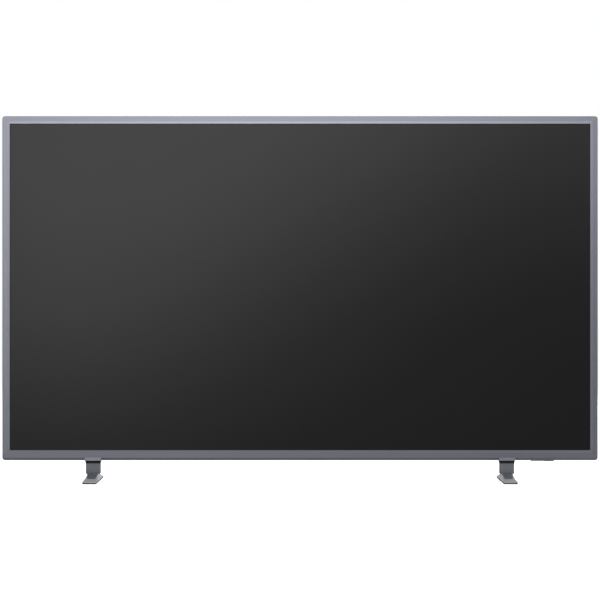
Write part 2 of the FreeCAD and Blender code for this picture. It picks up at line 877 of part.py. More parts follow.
def make_chassis():
    half = "frame_half - chassis_setback"
    plate = block("chassis_plate", ("-(%s)" % half, half), ("reflector_back", "chassis_back"),
                  ("frame_base", "frame_top - chassis_setback"))
    ribs = []
    channels = []
    for name, sign in (("lower", "-"), ("upper", "+")):
        middle = "screen_middle %s rib_spacing / 2" % sign
        ribs.append(block("chassis_rib_" + name, centred("rib_length"),
                          ("chassis_back", "chassis_back + rib_depth"), centred("rib_width", middle)))
        channels.append(block(
            "chassis_channel_" + name, centred("rib_length - 2 * chassis_thickness"),
            ("reflector_back - overrun", "chassis_back + rib_depth - chassis_thickness"),
            centred("rib_width - 2 * chassis_thickness", middle)))
    pressed = joined("chassis_pressing", [plate] + ribs)
    keep(without("backlight_tray", pressed, channels), "backlight_chassis")


def make_source_boards():
    boards = []
    ribbons = []
    for side in ("left", "right"):
        span = on_side(side, ("source_board_gap / 2", "source_board_gap / 2 + source_board_length"))
        top = "source_board_base + source_board_height"
        boards.append(block("source_board_" + side, span,
                            ("cell_back - source_board_thickness", "cell_back"),
                            ("source_board_base", top)))
        for number in range(int(size("source_board_length / ribbon_pitch"))):
            middle = "%s + ribbon_pitch * %s" % (span[0], number + 0.5)
            board_face = "cell_back - source_board_thickness"
            ribbons.append(block(
                "ribbon_%s_%d" % (side, number), centred("ribbon_width", middle),
                (board_face + " - ribbon_thickness", board_face),
                ("source_board_base + ribbon_overlap", "cell_base")))
    keep(group("source_boards_pair", boards), "source_boards")
    keep(group("ribbons", ribbons), "panel_ribbons")


# Rear cover and electronics housing

def sloped_shell(name, front, back):
    """A solid between two rounded rectangles, each of depth, half width, base, top and radius."""
    body = doc.addObject("PartDesign::Body", name)
    sections = [
        front_sketch(body, "%s_%s" % (name, end), depth,
                     rectangle(("-(%s)" % half, half), (base, top), radius))
        for end, (depth, half, base, top, radius) in (("front", front), ("back", back))
    ]
    loft(body, sections)
    return body


def screw_places():
    """Places of the cover's screws, in x and z, around the rim of its flat back."""
    side = "rim_half - screw_inset"
    top = "rim_top - screw_inset"
    places = [("%s * (%s)" % (share, side), top) for share in (-1, -0.5, 0, 0.5, 1)]
    for share in (-1, 1):
        places.append(("%s * (%s)" % (share, side), "screen_middle + side_screw_lift"))
        places.append(("%s * (%s)" % (share, side), "rim_base + screw_inset"))
    return places


def make_rear_cover():
    outside = sloped_shell(
        "cover_outside",
        ("bezel_depth", "rim_half", "rim_base", "rim_top", "cover_rim_radius"),
        ("cover_back", "rim_half - cover_slope", "rim_base + cover_slope_base",
         "rim_top - cover_slope", "cover_back_radius"),
    )
    inside = sloped_shell(
        "cover_inside",
        ("bezel_depth", "rim_half - cover_wall", "rim_base + cover_wall", "rim_top - cover_wall",
         "cover_rim_radius - cover_wall"),
        ("cover_inside", "rim_half - cover_slope - cover_wall",
         "rim_base + cover_slope_base + cover_wall", "rim_top - cover_slope - cover_wall",
         "cover_back_radius - cover_wall"),
    )
    through = ("cover_inside - overrun", "cover_back + overrun")
    opening = block(
        "cover_opening", centred("2 * (housing_half_width - seat_width)"), through,
        ("housing_base + seat_width", "housing_top - seat_width"))
    keys = block(
        "cover_key_aperture", centred("holder_width + 2 * holder_clearance", "keys_offset"), through,
        ("holder_base - holder_clearance", "holder_base + holder_height + holder_clearance"))
    tools = [inside, opening, keys]
    for side in ("left", "right"):
        middle = at_side(side, "foot_middle")
        tools.append(block(
            "cover_tenon_slot_" + side, centred("tenon_width + 2 * tenon_clearance", middle),
            ("tenon_front - tenon_clearance", "tenon_front + tenon_depth + tenon_clearance"),
            ("body_base", "rim_base + cover_slope_base + 2 * cover_wall")))
        tools.append(rod("cover_foot_screw_hole_" + side, "Y", "screw_radius + screw_clearance",
                         (middle, through[0], "foot_screw_height"), "cover_wall + 2 * overrun", SIDES))
    for number, (x, z) in enumerate(screw_places()):
        tools.append(rod("cover_screw_hole_%d" % number, "Y", "screw_radius + screw_clearance",
                         (x, through[0], z), "cover_wall + 2 * overrun", SIDES))
    for number in range(int(size("groove_count"))):
        tools.append(block(
            "cover_groove_%d" % number, centred("2 * (rim_half - cover_slope - groove_end)"),
            ("cover_back - groove_depth", through[1]),
            centred("groove_width", "housing_top + groove_lift + groove_pitch * %d" % number)))
    keep(without("rear_cover", outside, tools), "rear_cover")


def make_cover_screws():
    screws = []
    for number, (x, z) in enumerate(screw_places()):
        head = rod("cover_screw_head_%d" % number, "Y", "screw_head_radius", (x, "cover_back", z),
                   "screw_head_height", SIDES)
        shank = rod("cover_screw_shank_%d" % number, "Y", "screw_radius", (x, "chassis_back", z),
                    "cover_back - chassis_back", SHANK_SIDES)
        screws.append(joined("cover_screw_%d" % number, [head, shank]))
    keep(group("screws", screws), "cover_screws")


def post_places():
    for column in (-0.5, 0.5):
        for row in (-0.5, 0.5):
            yield "wall_mount_width * %s" % column, "wall_mount_middle + wall_mount_height * %s" % row


def recess(name, side, height):
    """The space of a side recess, and the same space with its inner walls."""
    outer = "housing_half_width + overrun"
    top = "recess_base + " + height
    space = block(name + "_space", on_side(side, ("recess_wall", outer)),
                  ("recess_floor", "housing_back + overrun"), ("recess_base", top))
    walls = block(name + "_walls", on_side(side, ("recess_wall - housing_wall", outer)),
                  ("cover_back", "housing_back + overrun"),
                  ("recess_base - housing_wall", top + " + housing_wall"))
    return space, walls


def cord_clip(side):
    """Two hooks that face each other on the housing's back and hold a cord running sideways."""
    middle = at_side(side, "clip_offset")
    height = "housing_base + clip_lift"
    along = centred("clip_length + 2 * overrun", middle)
    outer = "housing_back + clip_depth"
    hoop = block("clip_hoop_" + side, centred("clip_length", middle), ("housing_back", outer),
                 centred("clip_height", height))
    tunnel = block("clip_tunnel_" + side, along, ("housing_back", outer + " - clip_wall"),
                   centred("clip_height - 2 * clip_wall", height))
    mouth = block("clip_mouth_" + side, along, ("housing_back", outer + " + overrun"),
                  centred("clip_mouth", height))
    return without("clip_" + side, hoop, [tunnel, mouth])


def make_housing():
    outside = sloped_shell(
        "housing_outside",
        ("cover_back", "housing_half_width", "housing_base", "housing_top", "housing_radius"),
        ("housing_back", "housing_half_width - housing_slope", "housing_base",
         "housing_top - housing_slope_top", "housing_radius"),
    )
    inside = sloped_shell(
        "housing_hollow",
        ("cover_back", "housing_half_width - housing_wall", "housing_base + housing_wall",
         "housing_top - housing_wall", "housing_radius - housing_wall"),
        ("housing_inside", "housing_half_width - housing_slope - housing_wall",
         "housing_base + housing_wall", "housing_top - housing_slope_top - housing_wall",
         "housing_radius - housing_wall"),
    )
    terminal_space, terminal_walls = recess("terminal_recess", "left", "terminal_recess_height")
    inlet_space, inlet_walls = recess("inlet_recess", "right", "inlet_recess_height")
    hollow = without("housing_room", inside, [terminal_walls, inlet_walls])
    window_middle = "recess_base + terminal_recess_height / 2"
    tools = [hollow, terminal_space, inlet_space]
    wall_cut = ("recess_wall - housing_wall - overrun", "recess_wall + overrun")
    tools.append(block(
        "terminal_window", on_side("left", wall_cut), ("board_front", "board_front + terminal_window_depth"),
        centred("terminal_window_height", window_middle)))
    tools.append(block(
        "inlet_window", on_side("right", wall_cut),
        centred("inlet_body_depth + 2 * grille_clearance", "inlet_middle_depth"),
        centred("inlet_body_height + 2 * grille_clearance", "inlet_middle_height")))
    for number, (x, z) in enumerate(post_places()):
        tools.append(rod("post_hole_%d" % number, "Y", "post_radius + post_clearance",
                         (x, "housing_inside - overrun", z), "housing_wall + 2 * overrun", 2 * SIDES))
        tools.append(rod("post_dish_%d" % number, "Y", "dish_radius", (x, "housing_back - dish_depth", z),
                         "dish_depth + overrun", 2 * SIDES))
    for name, z in (("upper", "upper_vent_height"), ("lower", "lower_vent_height")):
        tools.append(block(
            "vent_aperture_" + name, centred("vent_width + 2 * grille_clearance"),
            ("housing_inside - overrun", "housing_back + overrun"),
            centred("vent_height + 2 * grille_clearance", z)))
    for side in ("left", "right"):
        tools.append(block(
            "speaker_aperture_" + side,
            centred("speaker_grille_width + 2 * grille_clearance", at_side(side, "speaker_middle")),
            centred("speaker_grille_depth + 2 * grille_clearance", "speaker_grille_middle"),
            ("housing_base - overrun", "housing_base + housing_wall + overrun")))
    case = without("housing_case", outside, tools)
    clips = [cord_clip(side) for side in ("left", "right")]
    keep(joined("housing_with_clips", [case] + clips), "electronics_housing")


def make_vent_grilles():
    grilles = []
    for name, z in (("upper", "upper_vent_height"), ("lower", "lower_vent_height")):
        body = doc.addObject("PartDesign::Body", "vent_grille_" + name)
        rim = front_sketch(
            body, "vent_rim_" + name, "housing_back",
            rectangle(centred("vent_width + 2 * grille_rim"), centred("vent_height + 2 * grille_rim", z)))
        pad(body, rim, "grille_rim_height")
        plug = front_sketch(body, "vent_plug_" + name, "housing_inside",
                            rectangle(centred("vent_width"), centred("vent_height", z)))
        pad(body, plug, "housing_wall")
        first = "-(vent_width / 2) + vent_pitch / 2 + vent_bar / 2"
        slot = front_sketch(
            body, "vent_slot_" + name, "housing_inside",
            rectangle(centred("vent_slot", first), centred("vent_height - 2 * vent_bar", z)))
        opening = pocket(body, slot, "housing_wall + grille_rim_height")
        row = body.newObject("PartDesign::LinearPattern", "vent_row_" + name)
        row.Originals = [opening]
        row.Direction = (origin_plane(body, "X_Axis"), [""])
        row.setExpression("Length", tied("vent_width - vent_pitch - vent_bar"))
        row.Occurrences = int(size("(vent_width - vent_bar) / vent_pitch"))
        body.Tip = row
        grilles.append(body)
    keep(grilles[0], "vent_grille_upper")
    keep(grilles[1], "vent_grille_lower")


def make_speaker_grilles():
    grilles = []
    for side in ("left", "right"):
        middle = at_side(side, "speaker_middle")
        body = doc.addObject("PartDesign::Body", "speaker_grille_" + side)

        def flat_sketch(name, height, across, deep):
            places = ["%s - face_offset" % depth for depth in deep]
            return sketch_on(body, name + side, "XY_Plane", height, rectangle(across, places))

        plug = flat_sketch("speaker_plug_", "housing_base", centred("speaker_grille_width", middle),
                           centred("speaker_grille_depth", "speaker_grille_middle"))
        pad(body, plug, "housing_wall", backwards=False)
        first = "%s - speaker_grille_width / 2 + speaker_pitch / 2 + speaker_bar / 2" % middle
        slot = flat_sketch("speaker_slot_", "housing_base + housing_wall",
                           centred("speaker_slot", first),
                           centred("speaker_grille_depth - 2 * speaker_bar", "speaker_grille_middle"))
        opening = pocket(body, slot, "housing_wall")
        row = body.newObject("PartDesign::LinearPattern", "speaker_row_" + side)
        row.Originals = [opening]
        row.Direction = (origin_plane(body, "X_Axis"), [""])
        row.setExpression("Length", tied("speaker_grille_width - speaker_pitch - speaker_bar"))
        row.Occurrences = int(size("(speaker_grille_width - speaker_bar) / speaker_pitch"))
        body.Tip = row
        grilles.append(body)
    keep(group("speaker_grille_pair", grilles), "speaker_grilles")


# Boards and loudspeakers in the housing

def standoff(name, x, z, length):
    return rod("standoff_" + name, "Y", "standoff_radius", (x, "chassis_back", z), length, PILLAR_SIDES)


def make_boards():
    inset = "2 * standoff_radius"
    boards = (
        ("main_board", "left", "board_edge", "main_board_width", "main_board_height"),
        ("power_board", "right", "board_edge", "power_board_width", "power_board_height"),
    )
    pillars = []
    plates = {}
    for label, side, edge, width, height in boards:
        inner = "%s - %s" % (edge, width)
        top = "board_base + " + height
        plates[label] = block(label + "_plate", on_side(side, (inner, edge)),
                              ("board_front", "board_back"), ("board_base", top))
        for row, z in (("low", "board_base + " + inset), ("high", "%s - %s" % (top, inset))):
            for column, x in (("in", "%s + %s" % (inner, inset)), ("out", "%s - %s" % (edge, inset))):
                pillars.append(standoff("%s_%s_%s" % (label, row, column), at_side(side, "(%s)" % x), z,
                                        "standoff_height"))
    timing_base = "body_base + timing_board_lift"
    timing_front = "chassis_back + timing_standoff"
    timing_back = timing_front + " + board_thickness"
    timing = block("timing_plate", centred("timing_board_width"), (timing_front, timing_back),
                   (timing_base, timing_base + " + timing_board_height"))
    for share in (-1, 1):
        pillars.append(standoff("timing_%s" % ("left" if share < 0 else "right"),
                                "%s * (timing_board_width / 2 - %s)" % (share, inset),
                                timing_base + " + timing_board_height / 2", "timing_standoff"))
    keep(group("pillars", pillars), "board_standoffs")

    chip_back = "board_back + chip_height"
    chips = [
        block("main_processor", centred("chip_side", "-(heat_sink_x)"), ("board_back", chip_back),
              centred("chip_side", "heat_sink_z")),
        block("main_memory", centred("memory_width", "-(heat_sink_x) - chip_side"),
              ("board_back", chip_back), centred("chip_side", "heat_sink_z")),
        block("main_tuner", centred("tuner_width", "-(board_edge) + tuner_width / 2 + tuner_setback"),
              ("board_back", "board_back + tuner_depth"), centred("tuner_height", "antenna_height")),
    ]
    keep(joined("main_board_parts", [plates["main_board"]] + chips), "main_board")
    keep(plates["power_board"], "power_board")
    chip = block("timing_chip", centred("chip_side"), (timing_back, timing_back + " + chip_height"),
                 centred("chip_side", timing_base + " + timing_board_height / 2"))
    keep(joined("timing_parts", [timing, chip]), "timing_board")

    sink_up = centred("heat_sink_width", "heat_sink_z")
    sink_base = chip_back + " + heat_sink_base"
    sink = [block("sink_base", centred("heat_sink_width", "-(heat_sink_x)"), (chip_back, sink_base), sink_up)]
    fin_count = int(size("heat_sink_width / heat_sink_pitch"))
    for number in range(fin_count):
        middle = "-(heat_sink_x) + heat_sink_pitch * %s" % (number - (fin_count - 1) / 2)
        sink.append(block("sink_fin_%d" % number, centred("heat_sink_fin", middle),
                          (sink_base, sink_base + " + heat_sink_depth"), sink_up))
    keep(joined("sink", sink), "main_heat_sink")

    parts = []
    for name in ("transformer", "standby", "filter"):
        parts.append(block(name + "_core", centred(name + "_width", "board_edge - %s_inset" % name),
                           ("board_back", "board_back + %s_depth" % name),
                           centred(name + "_width", "board_base + %s_lift" % name)))
    for number in range(int(size("capacitor_count"))):
        place = ("board_edge - capacitor_inset + capacitor_pitch * %d" % number, "board_back",
                 "board_base + capacitor_lift")
        parts.append(rod("capacitor_%d" % number, "Y", "capacitor_radius", place, "capacitor_height", SIDES))
    keep(group("power_parts", parts), "power_components")


def make_speakers():
    boxes = []
    drivers = []
    for side in ("left", "right"):
        span = on_side(side, ("speaker_outer - speaker_width", "speaker_outer"))
        up = ("speaker_base", "speaker_base + speaker_height")
        box = block("speaker_case_" + side, span, ("chassis_back", "housing_inside - speaker_gap"), up)
        keep(box, "speaker_box_" + side)
        for share in (-0.25, 0.25):
            middle = "%s + speaker_width * %s" % (at_side(side, "(speaker_middle)"), share)
            name = "driver_%s_%s" % (side, "inner" if share < 0 else "outer")
            place = (middle, "speaker_grille_middle", "speaker_base - driver_height + driver_gap")
            drivers.append(rod(name, "Z", "driver_radius", place, "driver_height - driver_gap", SIDES))
    keep(group("drivers", drivers), "speaker_drivers")


# Terminals and mains inlet

def make_terminals():
    """Sockets on the main board that look sideways out of the left recess."""
    face = "recess_wall - housing_wall"
    margin = "terminal_plate_margin"
    plate = block(
        "terminal_blank", on_side("left", (face + " - terminal_plate_thickness", face)),
        ("board_front - " + margin, "board_front + terminal_window_depth + " + margin),
        centred("terminal_window_height + 2 * " + margin, "recess_base + terminal_recess_height / 2"))
    inner = "board_edge - socket_length"
    reach = "recess_wall - (%s)" % inner
    cutouts = []

    def shell(name, height, across, deep):
        """A square socket on the board with its mouth at the recess wall."""
        back = "board_back + " + deep
        outer = block(name + "_shell", on_side("left", (inner, "recess_wall")), ("board_back", back),
                      centred(across, height))
        hollow = block(
            name + "_mouth", on_side("left", (inner + " + socket_wall", "recess_wall + overrun")),
            ("board_back + socket_wall", back + " - socket_wall"),
            centred(across + " - 2 * socket_wall", height))
        cutouts.append(block(
            name + "_cutout", on_side("left", (inner, "recess_wall + overrun")),
            ("board_back - grille_clearance", back + " + grille_clearance"),
            centred(across + " + 2 * grille_clearance", height)))
        return without(name + "_case", outer, [hollow])

    def tongued(kind, number):
        """One of a row of sockets of the same kind, with its contact tongue."""
        name = "%s_%d" % (kind, number)
        height = "%s_height + %s_pitch * %d" % (kind, kind, number)
        tongue = block(
            name + "_contacts", on_side("left", (inner, "recess_wall - tongue_setback")),
            centred("tongue_thickness", "board_back + %s_depth / 2" % kind),
            centred(kind + "_tongue", height))
        return joined(name, [shell(name, height, kind + "_width", kind + "_depth"), tongue])

    for kind in ("hdmi", "usb"):
        row = [tongued(kind, number) for number in range(int(size(kind + "_count")))]
        keep(group(kind + "_row", row), kind + "_sockets")
    keep(shell("lan", "lan_height", "lan_width", "lan_depth"), "lan_socket")

    jack_case = block("jack_case", on_side("left", (inner, face + " - terminal_plate_thickness")),
                      ("board_back", "board_back + jack_size"), centred("jack_size", "jack_height"))
    middle = "board_back + jack_size / 2"
    start = ("-(%s)" % inner, middle, "jack_height")
    barrel = rod("jack_barrel", "-X", "jack_barrel_radius", start, reach)
    cutouts.append(rod("jack_cutout", "-X", "jack_barrel_radius + grille_clearance", start, reach))
    bore = rod("jack_bore", "-X", "jack_bore_radius",
               ("-(recess_wall - jack_bore_length)", middle, "jack_height"), "jack_bore_length + overrun")
    keep(without("headphone_jack", joined("jack_body", [jack_case, barrel]), [bore]), "headphone_socket")

    middle = "board_back + antenna_axis"
    start = ("-(board_edge - tuner_setback)", middle, "antenna_height")
    length = "recess_wall - board_edge + tuner_setback + antenna_proud"
    post = rod("antenna_post", "-X", "antenna_radius", start, length)
    hole = rod("antenna_hole", "-X", "antenna_bore", start, length + " + overrun")
    cutouts.append(rod("antenna_cutout", "-X", "antenna_radius + grille_clearance",
                       ("-(%s)" % inner, middle, "antenna_height"), reach))
    keep(without("antenna_connector", post, [hole]), "antenna_socket")
    keep(without("terminal_plate", plate, cutouts), "terminal_panel")


def make_inlet():
    """The figure-of-eight mains inlet in the right recess."""
    deep = centred("inlet_body_depth", "inlet_middle_depth")
    up = centred("inlet_body_height", "inlet_middle_height")
    case = block("inlet_case", on_side("right", ("recess_wall - inlet_length", "recess_wall")), deep, up)
    seat = "recess_wall - housing_wall"
    flange = block("inlet_flange", on_side("right", (seat + " - terminal_plate_thickness", seat)),
                   centred("inlet_body_depth + 2 * inlet_flange", "inlet_middle_depth"),
                   centred("inlet_body_height + 2 * inlet_flange", "inlet_middle_height"))
    mouth = []
    pins = []
    for name, sign in (("lower", "-"), ("upper", "+")):
        bottom = ("recess_wall - inlet_mouth", "inlet_middle_depth",
                  "inlet_middle_height %s inlet_pin_spacing / 2" % sign)
        mouth.append(rod("inlet_lobe_" + name, "X", "inlet_lobe_radius", bottom, "inlet_mouth + overrun"))
        pins.append(rod("inlet_pin_" + name, "X", "inlet_pin_radius", bottom,
                        "inlet_mouth - inlet_pin_setback"))
    mouth.append(block("inlet_waist",
                       on_side("right", ("recess_wall - inlet_mouth", "recess_wall + overrun")),
                       centred("inlet_waist_depth", "inlet_middle_depth"),
                       centred("inlet_pin_spacing", "inlet_middle_height")))
    shell = without("inlet_shell", joined("inlet_blank", [case, flange]), mouth)
    keep(joined("inlet_whole", [shell] + pins), "mains_inlet")


# Wall mount posts

def make_posts():
    posts = []
    for number, (x, z) in enumerate(post_places()):
        column = rod("post_column_%d" % number, "Y", "post_radius", (x, "chassis_back", z),
                     "housing_back - chassis_back", 2 * SIDES)
        thread = rod("post_thread_%d" % number, "Y", "post_bore", (x, "housing_back - post_bore_depth", z),
                     "post_bore_depth + overrun")
        posts.append(without("post_%d" % number, column, [thread]))
    keep(group("posts", posts), "wall_mount_posts")


# Keys: a moulded holder in the rear cover, seven caps and the board behind them

def key_middle(number):
    return "keys_height + key_pitch * %s" % (number - (len(KEY_NAMES) - 1) / 2)


def make_keys():
    x = "keys_offset"
    rim = block("holder_rim_plate", centred("holder_width + 2 * holder_rim", x),
                ("cover_back", "holder_back"), centred("holder_height + 2 * holder_rim", "keys_height"))
    tub = block("holder_tub", centred("holder_width", x), ("holder_front", "cover_back"),
                centred("holder_height", "keys_height"))
    tools = [block("holder_room", centred("holder_width - 2 * holder_wall", x),
                   ("holder_front - overrun", "holder_back - holder_wall"),
                   centred("holder_height - 2 * holder_wall", "keys_height"))]
    for number in range(len(KEY_NAMES)):
        tools.append(block("holder_hole_%d" % number, centred("key_cap + 2 * key_clearance", x),
                           ("holder_front", "holder_back + overrun"),
                           centred("key_cap + 2 * key_clearance", key_middle(number))))
    keep(without("holder", joined("holder_blank", [rim, tub]), tools), "key_holder")

    board = block("key_board_plate", centred("holder_width", x),
                  ("holder_front - key_board_thickness", "holder_front"),
                  centred("holder_height", "keys_height"))
    switches = [board]
    for number in range(len(KEY_NAMES)):
        z = key_middle(number)
        switches.append(block("switch_%d" % number, centred("switch_side", x),
                              ("holder_front", "switch_back"), centred("switch_side", z)))
        switches.append(rod("plunger_%d" % number, "Y", "plunger_radius", (x, "switch_back", z),
                            "plunger_height", SIDES))
    keep(joined("key_circuit", switches), "key_board")

    for number, label in enumerate(KEY_NAMES):
        z = key_middle(number)
        body = doc.addObject("PartDesign::Body", label + "_body")
        stem = front_sketch(body, label + "_stem", "plunger_back + key_travel + key_rest_gap",
                            rectangle(centred("key_stem", x), centred("key_stem", z)))
        pad(body, stem, "key_flange_front - plunger_back - key_travel - key_rest_gap")
        flange = front_sketch(body, label + "_flange", "key_flange_front",
                              rectangle(centred("key_flange", x), centred("key_flange", z)))
        pad(body, flange, "key_flange_thickness")
        cap = front_sketch(body, label + "_cap", "key_flange_back",
                           rectangle(centred("key_cap", x), centred("key_cap", z)))
        pad(body, cap, "holder_back + key_proud - key_flange_back")
        dress(body, "Chamfer", lambda edge: lies_at(edge, "holder_back + key_proud"), "key_edge")
        keep(body, label)


# Remote sensor under the lower bar

def make_sensor():
    body = doc.addObject("PartDesign::Body", "sensor_lens")
    low = "body_base - sensor_drop"
    half = "sensor_width / 2"
    lens = front_sketch(body, "sensor_outline", "sensor_setback - sensor_lead", [
        ("sensor_offset - %s + sensor_taper" % half, low, "sensor_round"),
        ("sensor_offset + %s - sensor_taper" % half, low, "sensor_round"),
        ("sensor_offset + " + half, "body_base"),
        ("sensor_offset - " + half, "body_base"),
    ])
    pad(body, lens, "sensor_depth")
    stem = block("sensor_stem", centred("sensor_stem_width", "sensor_offset"),
                 ("sensor_setback", "sensor_setback + sensor_stem_depth"),
                 ("body_base", "inner_base + frame_clearance - stack_clearance"))
    return keep(joined("sensor_parts", [body, stem]), "ir_window")


def make_sensor_board():
    board = block("sensor_plate", centred("sensor_board_width", "sensor_offset"),
                  ("cell_back - sensor_board_thickness", "cell_back"),
                  ("source_board_base", "source_board_base + source_board_height"))
    keep(board, "sensor_board")


# Feet

def plan_sketch(body, name, height, *loops):
    """A sketch seen from above, of x and y."""
    return sketch_on(body, name, "XY_Plane", height, *loops)


def make_feet(ring):
    front = "neck_front - face_offset"
    back = "neck_back - face_offset"
    tenon_back = "tenon_front + tenon_depth"
    soles, screws, sockets, collars, brackets = [], [], [], [], []
    for side in ("left", "right"):
        middle = at_side(side, "foot_middle")

        def beside(width, sign="+"):
            return "%s %s (%s) / 2" % (middle, sign, width)

        # The base bar rises in two slopes from either end to a hub under the neck, and its
        # sides lean in to a narrower ridge.
        bar_side = doc.addObject("PartDesign::Body", "bar_side_" + side)
        slope = sketch_on(bar_side, "bar_profile_" + side, "YZ_Plane", middle, [
            ("-foot_toe", "foot_underside"),
            ("foot_heel", "foot_underside"),
            ("foot_heel", "foot_underside + foot_edge"),
            ("slope_heel", "foot_crest"),
            (back, "foot_hub"),
            (front, "foot_hub"),
            ("-slope_toe", "foot_crest"),
            ("-foot_toe", "foot_underside + foot_edge"),
        ])
        pad(bar_side, slope, "foot_width + 2 * overrun", backwards=False, both_ways=True)
        bar_end = doc.addObject("PartDesign::Body", "bar_end_" + side)
        lean = sketch_on(bar_end, "bar_section_" + side, "XZ_Plane", "foot_toe + overrun", [
            (beside("foot_width", "-"), "foot_underside"),
            (beside("foot_width"), "foot_underside"),
            (beside("foot_ridge"), "foot_hub"),
            (beside("foot_ridge", "-"), "foot_hub"),
        ])
        pad(bar_end, lean, "foot_toe + foot_heel + 2 * overrun")
        bar = shared("foot_bar_" + side, bar_side, bar_end)

        # A rubber sole lies under the whole bar.
        sole = doc.addObject("PartDesign::Body", "sole_body_" + side)
        print_outline = plan_sketch(sole, "sole_outline_" + side, "0", rectangle(
            centred("foot_width - 2 * sole_setback", middle),
            ("-foot_toe + sole_setback", "foot_heel - sole_setback"), "sole_corner"))
        pad(sole, print_outline, "sole_thickness", backwards=False)
        tools = []
        shank_holes = []
        for name, sign in (("front", "-"), ("rear", "+")):
            name = "base_screw_%s_%s" % (side, name)
            depth = "neck_middle %s base_screw_spacing / 2" % sign
            below = (middle, depth, "-overrun")
            seat = (middle, depth, "foot_underside + screw_sunk")
            tools.append(rod(name + "_well", "Z", "screw_head_radius + screw_clearance", below,
                             "foot_underside + overrun + screw_sunk + screw_head_height", SIDES))
            shank_holes.append(rod(name + "_hole", "Z", "screw_radius + screw_clearance", below,
                                   "foot_underside + base_screw_length + 2 * overrun", SIDES))
            screws.append(joined(name, [
                rod(name + "_head", "Z", "screw_head_radius", seat, "screw_head_height", SIDES),
                rod(name + "_shank", "Z", "screw_radius", seat, "base_screw_length", SHANK_SIDES),
            ]))
        soles.append(without("sole_" + side, sole, tools))
        base = without("foot_base_%s_cut" % side, bar, tools + shank_holes)
        keep(base, "foot_base_" + side)

        # The neck is one profile from the side crossed with another from above. Its column stands
        # round the hub, and a tongue runs down each slope of the bar.
        profile = doc.addObject("PartDesign::Body", "neck_profile_" + side)
        outline = sketch_on(profile, "neck_side_" + side, "YZ_Plane", middle, [
            ("-neck_toe", "neck_tip_base"),
            (front, "neck_skirt"),
            (back, "neck_skirt"),
            ("neck_heel", "neck_tip_base"),
            ("neck_heel", "neck_tip_height"),
            (back, "neck_knee", "neck_sweep"),
            (back, "neck_top"),
            (front, "neck_top"),
            (front, "neck_knee", "neck_sweep"),
            ("-neck_toe", "neck_tip_height"),
        ])
        pad(profile, outline, "neck_width + 2 * overrun", backwards=False, both_ways=True)
        plan = doc.addObject("PartDesign::Body", "neck_plan_" + side)
        from_above = plan_sketch(plan, "neck_above_" + side, "neck_tip_base", [
            (beside("neck_tip_width", "-"), "-neck_toe"),
            (beside("neck_tip_width"), "-neck_toe"),
            (beside("neck_waist_width"), front + " - neck_waist"),
            (beside("neck_width"), front, "neck_corner"),
            (beside("neck_width"), back, "neck_corner"),
            (beside("neck_waist_width"), back + " + neck_waist"),
            (beside("neck_tip_width"), "neck_heel"),
            (beside("neck_tip_width", "-"), "neck_heel"),
            (beside("neck_waist_width", "-"), back + " + neck_waist"),
            (beside("neck_width", "-"), back, "neck_corner"),
            (beside("neck_width", "-"), front, "neck_corner"),
            (beside("neck_waist_width", "-"), front + " - neck_waist"),
        ])
        pad(plan, from_above, "neck_top", backwards=False)
        casting = shared("neck_casting_" + side, profile, plan)
        tenon = block("tenon_" + side, centred("tenon_width", middle), ("tenon_front", tenon_back),
                      ("neck_top - tenon_root", "neck_top + tenon_height"))
        screw_tip = (middle, tenon_back + " - tenon_screw_depth", "foot_screw_height")
        rear_hole = rod("tenon_hole_" + side, "Y", "screw_radius + screw_clearance", screw_tip,
                        "tenon_screw_depth + overrun", SIDES)
        neck = without("neck_" + side, joined("neck_blank_" + side, [casting, tenon]),
                       [bar, rear_hole] + shank_holes)
        keep(neck, "foot_neck_" + side)
        rear_head = rod("foot_screw_head_" + side, "Y", "screw_head_radius",
                        (middle, "cover_back", "foot_screw_height"), "screw_head_height", SIDES)
        rear_shank = rod("foot_screw_shank_" + side, "Y", "screw_radius", screw_tip,
                         "cover_back - (%s) + tenon_screw_depth" % tenon_back, SHANK_SIDES)
        screws.append(joined("foot_screw_" + side, [rear_head, rear_shank]))

        # Black socket and bright collar between the neck and the bezel, both slotted for the tenon.
        slot_width = centred("tenon_width + 2 * tenon_clearance", middle)
        slot_depth = ("tenon_front - tenon_clearance", tenon_back + " + tenon_clearance")
        socket = doc.addObject("PartDesign::Body", "socket_body_" + side)
        taper = front_sketch(socket, "socket_front_" + side, "neck_front", [
            (beside("neck_width", "-"), "neck_top"),
            (beside("neck_width"), "neck_top"),
            (beside("neck_width + 2 * socket_flare"), "collar_base"),
            (beside("neck_width + 2 * socket_flare", "-"), "collar_base"),
        ])
        pad(socket, taper, "neck_back - neck_front")
        socket_slot = block("socket_slot_" + side, slot_width, slot_depth,
                            ("neck_top - overrun", "collar_base + overrun"))
        sockets.append(without("socket_" + side, socket, [socket_slot]))
        plate = block("collar_plate_" + side, centred("collar_width", middle),
                      ("-collar_thickness", "neck_back"), ("collar_base", "stand_height"))
        upstand = block("collar_upstand_" + side, centred("collar_width", middle),
                        ("-collar_thickness", "bezel_wall"), ("collar_base", "stand_height + collar_upstand"))
        collar_slot = block("collar_slot_" + side, slot_width, slot_depth,
                            ("collar_base - overrun", "stand_height + overrun"))
        collar = joined("collar_blank_" + side, [plate, upstand])
        collars.append(without("collar_" + side, collar, [collar_slot, ring]))
        brackets.append(block("bracket_" + side, centred("bracket_width", middle),
                              ("chassis_back", "tenon_front"),
                              ("bracket_base", "board_base - bracket_gap")))
    keep(group("sole_pair", soles), "foot_soles")
    keep(group("foot_screw_set", screws), "foot_screws")
    keep(group("socket_pair", sockets), "foot_sockets")
    keep(group("collar_pair", collars), "foot_collars")
    keep(group("bracket_pair", brackets), "stand_brackets")


